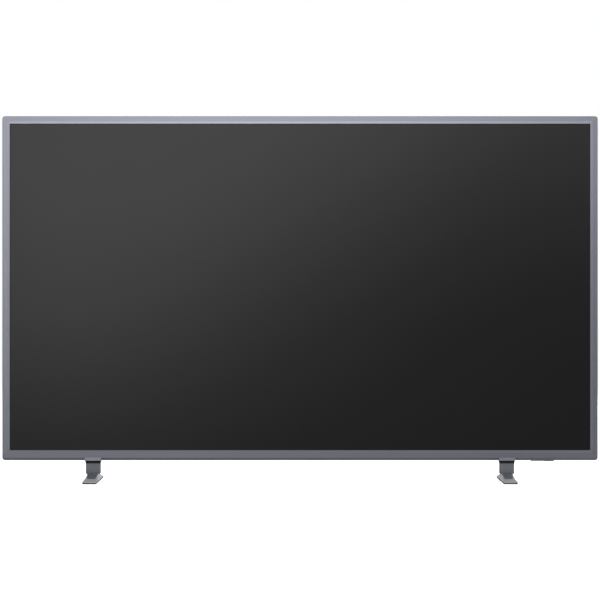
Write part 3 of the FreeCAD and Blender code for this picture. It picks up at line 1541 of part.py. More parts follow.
def write_nodes():
    """Check every object, then write each node's solid to its own file."""
    doc.recompute()
    faulty = [item.Label for item in doc.Objects if {"Invalid", "Error"} & set(item.State)]
    for label, item in nodes.items():
        if item.Shape.isNull() or not item.Shape.isValid() or not item.Shape.Solids:
            faulty.append(label)
    if faulty:
        raise RuntimeError("not built: " + ", ".join(faulty))
    os.makedirs("parts", exist_ok=True)
    for label, item in nodes.items():
        item.Shape.exportStep("parts/%s.step" % label)
        print("%-22s %2d solids %10.1f cm3" % (label, len(item.Shape.Solids), item.Shape.Volume / 1000))
    print(len(nodes), "nodes")


bezel_ring = make_bezel()
make_corner_keys()
make_panel()
make_light_source()
make_chassis()
make_source_boards()
make_rear_cover()
make_cover_screws()
make_housing()
make_vent_grilles()
make_speaker_grilles()
make_boards()
make_speakers()
make_terminals()
make_inlet()
make_posts()
make_keys()
make_sensor()
make_sensor_board()
make_feet(bezel_ring)
write_nodes()
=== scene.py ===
import math

import bmesh
import bpy
from mathutils import Matrix, Vector


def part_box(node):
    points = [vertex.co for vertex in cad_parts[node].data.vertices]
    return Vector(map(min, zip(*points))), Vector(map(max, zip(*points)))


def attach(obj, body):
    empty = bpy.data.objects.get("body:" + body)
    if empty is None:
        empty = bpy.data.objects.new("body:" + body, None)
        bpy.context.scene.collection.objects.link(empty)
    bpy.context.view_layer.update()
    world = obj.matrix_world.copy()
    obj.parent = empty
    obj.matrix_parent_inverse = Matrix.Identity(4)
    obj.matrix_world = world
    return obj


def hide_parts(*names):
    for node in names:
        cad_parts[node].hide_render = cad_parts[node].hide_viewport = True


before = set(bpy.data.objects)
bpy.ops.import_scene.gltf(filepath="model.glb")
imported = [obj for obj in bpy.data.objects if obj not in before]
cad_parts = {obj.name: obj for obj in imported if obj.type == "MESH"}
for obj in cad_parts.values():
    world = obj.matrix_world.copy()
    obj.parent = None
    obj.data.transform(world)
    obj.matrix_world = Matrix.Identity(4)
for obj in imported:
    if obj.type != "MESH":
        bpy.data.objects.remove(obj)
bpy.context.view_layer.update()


# Bezel: four extruded aluminium bars, mitred at the corners and held by corner keys. They are
# brushed along their length and anodised a cool silver grey, and a cutter then leaves the narrow
# bright lip round the screen.

class Signal:
    """A value on its way through a finish: arithmetic on it adds Math nodes."""

    def __init__(self, finish, socket):
        self.finish = finish
        self.socket = socket

    def maths(self, operation, first, second=0.0):
        return self.finish.node("Math", {"operation": operation}, {0: first, 1: second})

    def __add__(self, other):
        return self.maths("ADD", self, other)

    def __sub__(self, other):
        return self.maths("SUBTRACT", self, other)

    def __rsub__(self, other):
        return self.maths("SUBTRACT", other, self)

    def __mul__(self, other):
        return self.maths("MULTIPLY", self, other)

    def __mod__(self, other):
        return self.maths("FLOORED_MODULO", self, other)

    def __lt__(self, other):
        return self.maths("LESS_THAN", self, other)

    def __gt__(self, other):
        return self.maths("GREATER_THAN", self, other)

    def __abs__(self):
        return self.maths("ABSOLUTE", self)

    __radd__ = __add__
    __rmul__ = __mul__


class Finish:
    """A material of nodes for one surface of the set."""

    def __init__(self, name, colour, roughness, metallic=0.0, fixed=None):
        self.material = bpy.data.materials.new(name)
        self.material.use_nodes = True
        self.tree = self.material.node_tree
        self.shader = self.tree.nodes["Principled BSDF"]
        self.set({"Base Color": colour, "Roughness": roughness, "Metallic": metallic})
        self.set(fixed or {})

    def feed(self, socket, value):
        """Link a signal to a socket, or set the socket to a number, a vector or a colour."""
        if isinstance(value, Signal):
            self.tree.links.new(value.socket, socket)
        elif socket.type == "RGBA":
            socket.default_value = (*value, 1.0)
        else:
            socket.default_value = value

    def set(self, values):
        """Feed sockets of the shader, by their names."""
        for socket, value in values.items():
            self.feed(self.shader.inputs[socket], value)

    def node(self, kind, settings=None, values=None, out=0):
        """Add a node: its settings first, then the values or signals of its sockets."""
        node = self.tree.nodes.new("ShaderNode" + kind)
        for setting, value in (settings or {}).items():
            setattr(node, setting, value)
        for socket, value in (values or {}).items():
            self.feed(node.inputs[socket], value)
        return Signal(self, node.outputs[out])

    def place(self):
        """The place on the object, as a vector in metres."""
        return self.node("TexCoord", out="Object")

    def axes(self):
        """The x, y and z of the place on the object, in metres."""
        parts = self.node("SeparateXYZ", values={0: self.place()})
        return [Signal(self, socket) for socket in parts.socket.node.outputs]

    def noise(self, *per_metre, detail=3.0):
        """Noise from 0 to 1 with so many cells per metre: one number, or one for each axis."""
        cells = per_metre * 3 if len(per_metre) == 1 else per_metre
        stretched = self.node("VectorMath", {"operation": "MULTIPLY"}, {0: self.place(), 1: cells})
        return self.node("TexNoise", values={"Vector": stretched, "Scale": 1.0, "Detail": detail})

    def mixed(self, share, first, second):
        """From the first colour to the second as the share goes from 0 to 1."""
        return self.node("Mix", {"data_type": "RGBA"}, {0: share, 6: first, 7: second}, out=2)

    def relief(self, height, depth):
        """Bump of so many metres for a height from 0 to 1."""
        bump = self.node("Bump", values={"Height": height, "Distance": depth}, out="Normal")
        self.set({"Normal": bump})


def srgb(*levels):
    """A colour as a picture's levels from 0 to 255."""
    shares = [level / 255 for level in levels]
    return tuple(s / 12.92 if s < 0.04045 else ((s + 0.055) / 1.055) ** 2.4 for s in shares)


def shade(colour, factor):
    """A lighter or darker tone of a colour."""
    return tuple(min(1.0, part * factor) for part in colour)


def dress(finish, *nodes):
    """Give CAD pieces a finish, and keep their shape."""
    for name in nodes:
        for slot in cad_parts[name].material_slots:
            slot.material = finish.material


CELL_BORDER = 0.008  # how far the cell goes on behind the bezel
LIP_WIDTH = 0.005
SILVER_GREY = srgb(75, 76, 82)
LIP_GREY = srgb(82, 84, 90)
cell_low, cell_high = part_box("lcd_cell")
screen_half = cell_high.x - CELL_BORDER
screen_middle = (cell_low.z + cell_high.z) / 2
screen_rise = (cell_high.z - cell_low.z) / 2 - CELL_BORDER


def on_screen(finish, margin):
    """1 within the screen's opening, made wider all round by a margin in metres."""
    across, _, height = finish.axes()
    beside = abs(across) < screen_half + margin
    return beside * (abs(height - screen_middle) < screen_rise + margin)


def bezel_finish(name, streaks, roughness):
    """Brushed and anodised, with the cut lip left bright."""
    metal = Finish(name, SILVER_GREY, roughness, 0.65, {"Specular IOR Level": 0.15})
    grain = metal.noise(*streaks, detail=2.0)
    cloud = metal.noise(9, detail=2.0)
    streaked = grain * 0.6 + cloud * 0.4
    brushed = metal.mixed(streaked, shade(SILVER_GREY, 0.94), shade(SILVER_GREY, 1.06))
    lip = on_screen(metal, LIP_WIDTH)
    metal.set({
        "Base Color": metal.mixed(lip, brushed, LIP_GREY),
        "Roughness": roughness + grain * 0.06 - lip * 0.02,
    })
    metal.relief(grain, 0.000006)
    return metal


dress(bezel_finish("bezel_brushed_across", (12, 3600, 3600), 0.29), "bezel_top", "bezel_bottom")
dress(bezel_finish("bezel_brushed_upright", (3600, 3600, 12), 0.24), "bezel_left", "bezel_right")


# Corner keys: four angles stamped from zinc plated steel, pushed into the channels of two bars
# where they meet. The same plating protects the other hidden brackets.

def plated(name, colour, roughness):
    """Zinc or nickel plating, with its faint spangle."""
    metal = Finish(name, colour, roughness, 1.0)
    spangle = metal.node("TexVoronoi", values={"Vector": metal.place(), "Scale": 420.0})
    cloud = metal.noise(60)
    metal.set({
        "Base Color": metal.mixed(cloud, shade(colour, 0.88), shade(colour, 1.1)),
        "Roughness": roughness - 0.05 + spangle * 0.14,
    })
    metal.relief(cloud, 0.00001)
    return metal


zinc_plate = plated("zinc_plate", (0.45, 0.46, 0.46), 0.42)
dress(zinc_plate, "bezel_corner_keys", "board_standoffs", "stand_brackets", "backlight_chassis")


# Gasket: a frame of black closed cell foam, stuck to the back of the bezel's flange. It cushions
# the cell's edge and keeps dust and light out.

foam = Finish("gasket_foam", (0.016, 0.016, 0.016), 0.9)
cells = foam.node("TexVoronoi", values={"Vector": foam.place(), "Scale": 1800.0})
foam.set({"Base Color": foam.mixed(cells, (0.010, 0.010, 0.010), (0.030, 0.030, 0.030))})
foam.relief(cells, 0.0001)
dress(foam, "panel_gasket")


# Screen: the liquid crystal cell behind its polariser, whose satin hard coat breaks up
# reflections. A printed black border runs round the picture, beside the bezel's lip.

PRINTED_BORDER = 0.0024
screen = Finish("screen_polariser", (0.001, 0.001, 0.0011), 0.22,
                fixed={"Specular IOR Level": 0.078})
haze = screen.noise(900, detail=2.0)
smudge = screen.noise(5)
picture = on_screen(screen, -PRINTED_BORDER)
screen.set({
    "Base Color": screen.mixed(picture, (0.0006, 0.0006, 0.0007), (0.0012, 0.0012, 0.0012)),
    "Roughness": 0.21 + haze * 0.02 + smudge * 0.02 + (1 - picture) * 0.05,
})
screen.relief(haze, 0.000002)
dress(screen, "lcd_cell")


# Source boards and ribbons: two slim boards under the cell's lower edge, joined to the glass by
# amber film ribbons with a driver chip on each.

MASK_GREEN = (0.012, 0.085, 0.034)
TINNED_COPPER = (0.62, 0.60, 0.56)


def circuit(name, colour):
    """Solder mask over copper tracks, with tinned pads left bare."""
    board = Finish(name, colour, 0.38, fixed={"Coat Roughness": 0.2})
    tracks = board.node(
        "TexVoronoi", {"distance": "MANHATTAN"}, {"Vector": board.place(), "Scale": 160.0})
    runs = (tracks % 0.2) > 0.11
    grid = board.node(
        "TexVoronoi", {"distance": "CHEBYCHEV"}, {"Vector": board.place(), "Scale": 340.0})
    pads = grid < 0.16
    masked = board.mixed(runs, shade(colour, 0.75), shade(colour, 1.35))
    board.set({
        "Base Color": board.mixed(pads, masked, TINNED_COPPER),
        "Roughness": 0.34 + runs * 0.06,
        "Metallic": pads,
        "Coat Weight": 0.4 - pads * 0.4,
    })
    board.relief(runs, 0.00003)
    return board


green_board = circuit("circuit_board_green", MASK_GREEN)
dress(green_board, "source_boards", "main_board", "timing_board", "sensor_board")

amber = Finish("ribbon_film_amber", (0.42, 0.20, 0.04), 0.3, fixed={"Coat Roughness": 0.1})
leads = amber.noise(2400, 40, 40, detail=1.0)
amber.set({
    "Base Color": amber.mixed(leads > 0.5, (0.42, 0.20, 0.04), (0.30, 0.12, 0.03)),
    "Coat Weight": 0.3 + leads * 0.2,
})
dress(amber, "panel_ribbons")


# Middle frame: one black moulding that carries the cell at the front and the films behind it.
# The housings, grilles and boxes at the back come from the same kind of tool.

def moulded(name, colour, roughness, pits=1100.0, depth=0.00003, coat=0.0):
    """Injection moulded plastic from a spark eroded tool, with so many pits per metre."""
    plastic = Finish(name, colour, roughness, fixed={
        "Specular IOR Level": 0.32, "Coat Weight": coat, "Coat Roughness": 0.25})
    erosion = plastic.noise(pits)
    flow = plastic.noise(14, detail=2.0)
    marks = erosion * 0.6 + flow * 0.4
    plastic.set({
        "Base Color": plastic.mixed(marks, shade(colour, 0.78), shade(colour, 1.24)),
        "Roughness": roughness - 0.06 + erosion * 0.08 + flow * 0.05,
    })
    plastic.relief(erosion, depth)
    return plastic


dress(moulded("frame_black", (0.022, 0.022, 0.023), 0.6), "middle_frame")


# Optical films: a prism sheet and a diffuser in front of the clear light guide, with a white
# reflector behind it. All four are cut sheets that lie loose in the middle frame.

prism = Finish("prism_film", (0.72, 0.74, 0.77), 0.35)
ridges = prism.node(
    "TexWave", {"bands_direction": "Z"}, {"Vector": prism.place(), "Scale": 900.0})
prism.set({"Base Color": prism.mixed(ridges, (0.66, 0.68, 0.72), (0.80, 0.82, 0.85))})
prism.relief(ridges, 0.00002)
dress(prism, "prism_sheet")

diffuser = Finish("diffuser_film", (0.78, 0.79, 0.80), 0.75)
beads = diffuser.noise(2000, detail=2.0)
diffuser.set({"Base Color": diffuser.mixed(beads, (0.72, 0.73, 0.74), (0.84, 0.85, 0.86))})
dress(diffuser, "diffuser_sheet")

acrylic = Finish("light_guide_acrylic", (0.70, 0.78, 0.80), 0.08)
dots = acrylic.node("TexVoronoi", values={"Vector": acrylic.place(), "Scale": 500.0})
clear = dots > 0.4
acrylic.set({
    "Base Color": acrylic.mixed(clear, (0.86, 0.88, 0.88), (0.70, 0.78, 0.80)),
    "Roughness": 0.30 - clear * 0.22,
})
dress(acrylic, "light_guide_plate")

reflector = Finish("reflector_white", (0.86, 0.86, 0.85), 0.55)
fibre = reflector.noise(700)
reflector.set({"Base Color": reflector.mixed(fibre, (0.82, 0.82, 0.81), (0.90, 0.90, 0.89))})
dress(reflector, "reflector_sheet")


# Light source: two strips of white leds face up into the guide's lower edge, on a folded
# aluminium spreader that carries their heat to the chassis.

PHOSPHOR_DEPTH = 0.0008
strip_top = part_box("led_bars")[1].z
leds = Finish("led_strip_white", (0.80, 0.80, 0.77), 0.5)
_, _, height = leds.axes()
phosphor = height > strip_top - PHOSPHOR_DEPTH
silk = leds.noise(200)
strip = leds.mixed(silk, (0.76, 0.76, 0.74), (0.84, 0.84, 0.82))
leds.set({
    "Base Color": leds.mixed(phosphor, strip, (0.85, 0.72, 0.20)),
    "Roughness": 0.52 - phosphor * 0.25,
})
dress(leds, "led_bars")


def extruded(name, colour, lines):
    """Bare aluminium with the die's lines along it."""
    metal = Finish(name, colour, 0.4, 1.0)
    drawn = metal.noise(*lines, detail=2.0)
    metal.set({
        "Base Color": metal.mixed(drawn, shade(colour, 0.9), shade(colour, 1.08)),
        "Roughness": 0.34 + drawn * 0.14,
    })
    metal.relief(drawn, 0.00001)
    return metal


dress(extruded("spreader_aluminium", (0.52, 0.53, 0.55), (6, 2500, 2500)), "led_heat_spreader")


# Sensor window: a smoked lens that hangs under the lower bar and passes infrared to the receiver
# on a small board inside. It is darker where the receiver's eye looks out, and its stem snaps into
# a slot in the bar.

EYE_PLACE = 0.75  # as a share of the window's width, from its left end
EYE_HALF = 0.0085
window_low, window_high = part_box("ir_window")
eye = window_low.x + (window_high.x - window_low.x) * EYE_PLACE
smoked = Finish("sensor_smoked", srgb(138, 140, 142), 0.28, fixed={"Coat Roughness": 0.08})
swirl = smoked.noise(160)
across, _, _ = smoked.axes()
tinted = abs(across - eye) < EYE_HALF
lens = smoked.mixed(swirl, srgb(128, 130, 132), srgb(148, 150, 152))
smoked.set({
    "Base Color": smoked.mixed(tinted, lens, srgb(70, 72, 74)),
    "Roughness": 0.26 + swirl * 0.06,
    "Coat Weight": 0.3 + swirl * 0.1,
})
dress(smoked, "ir_window")


# Power board: a single sided board in the housing's right half, with transformers, a filter choke
# and capacitors soldered on. The main board, left, carries a finned heat sink.

dress(circuit("circuit_board_tan", (0.20, 0.12, 0.045)), "power_board")
dress(extruded("heat_sink_aluminium", (0.50, 0.51, 0.53), (2500, 2500, 8)), "main_heat_sink")

varnish = Finish("component_varnish", (0.05, 0.045, 0.03), 0.4, fixed={"Coat Roughness": 0.15})
windings = varnish.node(
    "TexWave", {"bands_direction": "X"}, {"Vector": varnish.place(), "Scale": 260.0})
blotch = varnish.noise(50)
worn = windings * 0.5 + blotch * 0.5
varnish.set({
    "Base Color": varnish.mixed(worn, (0.030, 0.028, 0.022), (0.16, 0.11, 0.035)),
    "Coat Weight": 0.3 + blotch * 0.3,
})
varnish.relief(windings, 0.0001)
dress(varnish, "power_components")


# Loudspeakers: two sealed black boxes, each with a pair of small drivers that fire down through
# the grilles in the housing's underside.

speaker_box = moulded("speaker_box_black", (0.018, 0.018, 0.019), 0.55)
dress(speaker_box, "speaker_box_left", "speaker_box_right")

cone = Finish("driver_paper", (0.03, 0.03, 0.032), 0.8)
pulp = cone.noise(900, detail=4.0)
cone.set({"Base Color": cone.mixed(pulp, (0.018, 0.018, 0.019), (0.05, 0.05, 0.052))})
cone.relief(pulp, 0.00005)
dress(cone, "speaker_drivers")


# Rear cover and electronics housing: two large black mouldings. The thin cover wraps the back of
# the chassis, and the deeper housing is welded on over the boards, with a finer texture.

cover = moulded("cover_black", (0.015, 0.015, 0.016), 0.58, pits=900.0, depth=0.00004)
dress(cover, "rear_cover")
housing = moulded("housing_black", (0.012, 0.012, 0.013), 0.50, pits=1300.0)
dress(housing, "electronics_housing")
grille = moulded("grille_black", (0.009, 0.009, 0.010), 0.5, pits=1500.0, depth=0.00002)
dress(grille, "vent_grille_upper", "vent_grille_lower", "speaker_grilles")


# Screws: black zinc pan heads with a cross recess, nine round the cover's rim, one behind each
# foot and two under it. Their threads cut into the chassis and the castings.

HEAD_RADIUS = 0.004
HEAD_HEIGHT = 0.002
HEAD_RIM = 0.35  # the share of the head's height that its rim has
CROSS_WIDTH = 0.0009
CROSS_LENGTH = 0.0046
CROSS_DEPTH = 0.0012  # below the head's top
SHANK_RADIUS = 0.002
SHANK_NECK = 0.0008  # plain, above the thread
SHANK_TIP = 0.0006  # tapered, below the thread
SCREW_PITCH = 0.0009
SCREW_THREAD = 0.00035
TO_BACK = Matrix.Rotation(math.radians(-90), 4, "X")
TO_FLOOR = Matrix.Rotation(math.radians(180), 4, "X")


def islands(node):
    """The boxes of the separate solids in a CAD piece."""
    mesh = bmesh.new()
    mesh.from_mesh(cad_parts[node].data)
    bmesh.ops.remove_doubles(mesh, verts=mesh.verts, dist=0.000001)
    waiting = set(mesh.verts)
    boxes = []
    while waiting:
        group = [waiting.pop()]
        low, high = group[0].co.copy(), group[0].co.copy()
        while group:
            corner = group.pop()
            for index in range(3):
                low[index] = min(low[index], corner.co[index])
                high[index] = max(high[index], corner.co[index])
            for edge in corner.link_edges:
                other = edge.other_vert(corner)
                if other in waiting:
                    waiting.remove(other)
                    group.append(other)
        boxes.append((low, high))
    mesh.free()
    return sorted(boxes, key=lambda pair: tuple(pair[0]))


def turned(mesh, profile, segments, seat=Matrix()):
    """Revolve (radius, height) points about a seat's z. Points of radius 0 close the ends."""
    angles = [math.tau * step / segments for step in range(segments)]
    rings = []
    for radius, height in profile:
        points = [Vector((radius * math.cos(a), radius * math.sin(a), height))
                  for a in (angles if radius else [0.0])]
        rings.append([mesh.verts.new(seat @ point) for point in points])
    for first, second in zip(rings, rings[1:]):
        for step in range(segments):
            after = (step + 1) % segments
            corners = [first[step % len(first)], first[after % len(first)],
                       second[after % len(second)], second[step % len(second)]]
            mesh.faces.new(list(dict.fromkeys(corners)))


def threaded(radius, start, end, pitch, depth):
    """Points of a thread's ridges between two heights."""
    count = int(abs(end - start) / pitch)
    step = (end - start) / count
    points = []
    for turn in range(count):
        points += [(radius - depth, start + step * turn), (radius, start + step * (turn + 0.5))]
    return points + [(radius - depth, end)]


def new_object(name, mesh):
    """Turn a bmesh into an object of the scene."""
    data = bpy.data.meshes.new(name)
    mesh.to_mesh(data)
    mesh.free()
    thing = bpy.data.objects.new(name, data)
    bpy.context.collection.objects.link(thing)
    return thing


def add_piece(name, mesh, finish, smooth=35):
    """A piece of the set from a bmesh, smooth but for edges sharper than so many degrees."""
    bmesh.ops.recalc_face_normals(mesh, faces=mesh.faces)
    piece = new_object(name, mesh)
    piece.data.materials.append(finish.material)
    if smooth:
        piece.data.shade_smooth()
        piece.data.set_sharp_from_angle(angle=math.radians(smooth))
    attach(piece, "set")
    return piece


def screw_mesh(name, length):
    """A pan head on height 0, with its cross recess cut, and a threaded shank below it."""
    profile = [(0, HEAD_HEIGHT)]
    for degrees in range(15, 90, 15):
        turn = math.radians(degrees)
        rise = HEAD_RIM + (1 - HEAD_RIM) * math.cos(turn) ** 0.6
        profile.append((HEAD_RADIUS * math.sin(turn) ** 0.8, HEAD_HEIGHT * rise))
    profile += [(HEAD_RADIUS, HEAD_HEIGHT * HEAD_RIM), (HEAD_RADIUS, 0)]
    profile += [(SHANK_RADIUS - SCREW_THREAD, 0)]
    profile += threaded(SHANK_RADIUS, -SHANK_NECK, SHANK_TIP - length, SCREW_PITCH, SCREW_THREAD)
    profile += [(0, -length)]
    solid = bmesh.new()
    turned(solid, profile, 20)
    bmesh.ops.recalc_face_normals(solid, faces=solid.faces)
    recess = bmesh.new()
    for across, along in ((CROSS_WIDTH, CROSS_LENGTH), (CROSS_LENGTH, CROSS_WIDTH)):
        bar = Matrix.Diagonal((across, along, 2 * CROSS_DEPTH, 1))
        bmesh.ops.create_cube(
            recess, size=1.0, matrix=Matrix.Translation((0, 0, HEAD_HEIGHT)) @ bar)
    blank = new_object(name + "_blank", solid)
    cross = new_object(name + "_cross", recess)
    cut = blank.modifiers.new("cross", "BOOLEAN")
    cut.object = cross
    cut.operation = "DIFFERENCE"
    cut.solver = "EXACT"
    cut.use_self = True
    graph = bpy.context.evaluated_depsgraph_get()
    result = bpy.data.meshes.new_from_object(blank.evaluated_get(graph))
    for shape in (blank, cross):
        bpy.data.objects.remove(shape)
    return result


def screws_for(node):
    """Replace a node of plain screws by cut and threaded ones in the same places."""
    seats = {}
    for low, high in islands(node):
        middle = (low + high) / 2
        if high.y - low.y > high.z - low.z:
            length = high.y - low.y - HEAD_HEIGHT
            seat = Matrix.Translation((middle.x, high.y - HEAD_HEIGHT, middle.z)) @ TO_BACK
        else:
            length = high.z - low.z - HEAD_HEIGHT
            seat = Matrix.Translation((middle.x, middle.y, low.z + HEAD_HEIGHT)) @ TO_FLOOR
        seats.setdefault(round(length, 5), []).append(seat)
    whole = bmesh.new()
    for length, group in sorted(seats.items()):
        template = screw_mesh(node, length)
        for seat in group:
            copy = template.copy()
            copy.transform(seat)
            whole.from_mesh(copy)
    piece = add_piece(node + "_cut", whole, black_zinc, smooth=30)
    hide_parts(node)


black_zinc = plated("black_zinc", (0.055, 0.055, 0.060), 0.38)
screws_for("cover_screws")
screws_for("foot_screws")


# Wall mount posts: four turned steel pillars from the chassis to the back face, tapped for the
# bracket's screws, with a chamfer at the mouth.

POST_CHAMFER = 0.0006
POST_BORE = 0.0025
POST_MOUTH = 0.0007
POST_DEPTH = 0.022
DRILL_POINT = 0.001
POST_PITCH = 0.001
POST_THREAD = 0.0004
posts = bmesh.new()
for low, high in islands("wall_mount_posts"):
    length = high.y - low.y
    radius = (high.x - low.x) / 2
    profile = [(0, -length), (radius, -length), (radius, -POST_CHAMFER)]
    profile += [(radius - POST_CHAMFER, 0), (POST_BORE + POST_MOUTH, 0)]
    profile += threaded(
        POST_BORE + POST_THREAD, -POST_MOUTH, -POST_DEPTH, POST_PITCH, POST_THREAD)
    profile += [(0, -POST_DEPTH - DRILL_POINT)]
    mouth = Matrix.Translation(((low.x + high.x) / 2, high.y, (low.z + high.z) / 2))
    turned(posts, profile, 32, mouth @ TO_BACK)
tapped_posts = add_piece("wall_mount_posts_tapped", posts, zinc_plate)
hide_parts("wall_mount_posts")


# Terminals: nickel plated shells soldered to the main board's edge, which look out through a
# zinc plated panel. Black tongues inside carry gold contacts.

NICKEL = (0.55, 0.54, 0.51)
TONGUE_BLACK = (0.012, 0.012, 0.013)
CONTACT_GOLD = (0.75, 0.52, 0.20)
TONGUE_THICKNESS = 0.0020
TONGUE_SETBACK = 0.0012  # behind the shell's mouth
TONGUE_SLACK = 0.0001

nickel = plated("socket_nickel", NICKEL, 0.3)
dress(nickel, "lan_socket")
dress(plated("panel_zinc", (0.50, 0.51, 0.50), 0.4), "terminal_panel")


def socket_finish(name, node, tongue_half, contact_pitch):
    """Shells of a row of sockets, with the tongue's plastic and contacts told by place."""
    low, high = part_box(node)
    heights = sorted((bottom.z + top.z) / 2 for bottom, top in islands(node))
    pitch = (heights[-1] - heights[0]) / (len(heights) - 1)
    metal = Finish(name, NICKEL, 0.3, 1.0)
    x, y, z = metal.axes()
    offset = (z - (heights[0] - pitch / 2)) % pitch - pitch / 2
    thin = abs(y - (low.y + high.y) / 2) < TONGUE_THICKNESS / 2
    tongue = thin * (abs(offset) < tongue_half + TONGUE_SLACK) * (x > low.x + TONGUE_SETBACK)
    contact = tongue * ((z % contact_pitch) > contact_pitch * 0.45)
    cloud = metal.noise(60)
    shell = metal.mixed(cloud, (0.48, 0.47, 0.45), (0.60, 0.59, 0.56))
    metal.set({
        "Base Color": metal.mixed(
            contact, metal.mixed(tongue, shell, TONGUE_BLACK), CONTACT_GOLD),
        "Metallic": 1 - tongue + contact,
        "Roughness": 0.30 + tongue * 0.2 - contact * 0.2,
    })
    metal.relief(cloud, 0.00001)
    return metal


dress(socket_finish("hdmi_nickel", "hdmi_sockets", 0.00525, 0.001), "hdmi_sockets")
dress(socket_finish("usb_nickel", "usb_sockets", 0.005, 0.0025), "usb_sockets")

LAN_CONTACTS = 8
LAN_PITCH = 0.00102
WIRE_HALF = 0.00025
lan_low, lan_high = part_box("lan_socket")
lan_middle = (lan_low.z + lan_high.z) / 2
wire_section = [(-WIRE_HALF, -WIRE_HALF), (WIRE_HALF, -WIRE_HALF),
                (WIRE_HALF, WIRE_HALF), (-WIRE_HALF, WIRE_HALF)]
wire_path = [  # from the back along the wall next to the board, then bent and sprung back
    (lan_high.x - 0.0012, lan_low.y + 0.0013), (lan_low.x + 0.0045, lan_low.y + 0.0013),
    (lan_low.x + 0.0035, lan_low.y + 0.0018), (lan_high.x - 0.0025, lan_low.y + 0.0062)]
wires = bmesh.new()
for number in range(LAN_CONTACTS):
    height = lan_middle + (number - (LAN_CONTACTS - 1) / 2) * LAN_PITCH
    rings = [[wires.verts.new((x, y + dy, height + dz)) for dy, dz in wire_section]
             for x, y in wire_path]
    for first, second in zip(rings, rings[1:]):
        for step in range(4):
            after = (step + 1) % 4
            wires.faces.new((first[step], first[after], second[after], second[step]))
    wires.faces.new(rings[0])
    wires.faces.new(reversed(rings[-1]))
gold = plated("contact_gold", (0.78, 0.55, 0.22), 0.22)
add_piece("lan_contacts", wires, gold, smooth=0)

PIN_HOLE = 0.0010
PIN_DEPTH = 0.0040
INSULATOR_RADIUS = 0.0024
SHELL_BORE = 0.0038
SHELL_GROOVE = 0.0002
THREAD_START = 0.0006
THREAD_END = 0.0085
SHOULDER = 0.0090  # where the plain rear of the shell starts
AERIAL_PITCH = 0.0008
AERIAL_THREAD = 0.0003
aerial_low, aerial_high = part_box("antenna_socket")
aerial_middle = (aerial_low + aerial_high) / 2
radius = (aerial_high.z - aerial_low.z) / 2
length = aerial_high.x - aerial_low.x
profile = [(0, -PIN_DEPTH), (PIN_HOLE, -PIN_DEPTH), (PIN_HOLE, 0), (INSULATOR_RADIUS, 0)]
profile += [(INSULATOR_RADIUS, -SHELL_GROOVE), (SHELL_BORE, -SHELL_GROOVE), (SHELL_BORE, 0)]
profile += [(radius - AERIAL_THREAD, 0)]
profile += threaded(radius, -THREAD_START, -THREAD_END, AERIAL_PITCH, AERIAL_THREAD)
profile += [(radius, -SHOULDER), (radius, -length), (0, -length)]
mouth = Matrix.Translation((aerial_low.x, aerial_middle.y, aerial_middle.z))
aerial = bmesh.new()
turned(aerial, profile, 32, mouth @ Matrix.Rotation(math.radians(-90), 4, "Y"))
threaded_socket = add_piece("antenna_socket_threaded", aerial, nickel)
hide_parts("antenna_socket")

dress(moulded("socket_black", (0.014, 0.014, 0.015), 0.42), "headphone_socket", "mains_inlet")


# Keys: seven caps in a black holder let into the cover, over switches on a slim board. Each cap
# slides in a hole of the holder and springs back.

key_holder = moulded(
    "key_holder_black", (0.010, 0.010, 0.011), 0.34, pits=1500.0, depth=0.00001, coat=0.3)
dress(key_holder, "key_holder")
key_cap = moulded("key_cap_grey", (0.060, 0.060, 0.064), 0.45, pits=1600.0, depth=0.00001)
dress(key_cap, "power_key", "source_key", "menu_key", "channel_up_key", "channel_down_key",
      "volume_up_key", "volume_down_key")
dress(circuit("circuit_board_keys", MASK_GREEN), "key_board")


# Feet: a dark satin painted neck stands on a bar of aluminium in bright satin lacquer, over a soft
# black sole. Its tenon passes a black plastic socket, near black as painted shadow under the
# set, and a thin grey collar and is screwed to a bracket.

bar_metal = Finish("foot_bar_satin", srgb(166, 168, 171), 0.5, 0.12, {"Specular IOR Level": 0.1})
sanded = bar_metal.noise(2600, 14, 2600, detail=2.0)
bar_metal.set({
    "Base Color": bar_metal.mixed(sanded, srgb(158, 160, 163), srgb(174, 176, 179)),
    "Roughness": 0.46 + sanded * 0.1,
})
bar_metal.relief(sanded, 0.000006)
dress(bar_metal, "foot_base_left", "foot_base_right")

collar_metal = Finish("foot_collar_satin", srgb(88, 90, 95), 0.34, 0.5,
                      {"Specular IOR Level": 0.15})
brushing = collar_metal.noise(14, 2600, 2600, detail=2.0)
collar_metal.set({
    "Base Color": collar_metal.mixed(brushing, srgb(82, 84, 89), srgb(94, 96, 101)),
    "Roughness": 0.32 + brushing * 0.06,
})
dress(collar_metal, "foot_collars")

paint = Finish("foot_neck_paint", srgb(86, 89, 95), 0.55, fixed={"Specular IOR Level": 0.12})
peel = paint.noise(700, detail=2.0)
flake = paint.noise(3500, detail=1.0)
paint.set({
    "Base Color": paint.mixed(flake, srgb(81, 84, 90), srgb(97, 100, 106)),
    "Roughness": 0.52 + peel * 0.06,
    "Metallic": 0.06 + flake * 0.08,
})
paint.relief(peel, 0.00001)
dress(paint, "foot_neck_left", "foot_neck_right")

# The socket is black plastic, but its near black tone, darker than the other black mouldings, is
# painted shadow from the set's lower edge above it.
socket_black = Finish("foot_socket_black", (0.003, 0.003, 0.0035), 0.7,
                      fixed={"Specular IOR Level": 0.15})
mould = socket_black.noise(1100)
socket_black.set({
    "Base Color": socket_black.mixed(mould, (0.002, 0.002, 0.0025), (0.005, 0.005, 0.0055)),
    "Roughness": 0.65 + mould * 0.1,
})
dress(socket_black, "foot_sockets")

rubber = Finish("foot_rubber", srgb(62, 62, 63), 0.85, fixed={"Specular IOR Level": 0.15})
dust = rubber.noise(500, detail=4.0)
rubber.set({
    "Base Color": rubber.mixed(dust, srgb(54, 54, 55), srgb(70, 70, 72)),
    "Roughness": 0.80 + dust * 0.1,
})
rubber.relief(dust, 0.00003)
dress(rubber, "foot_soles")


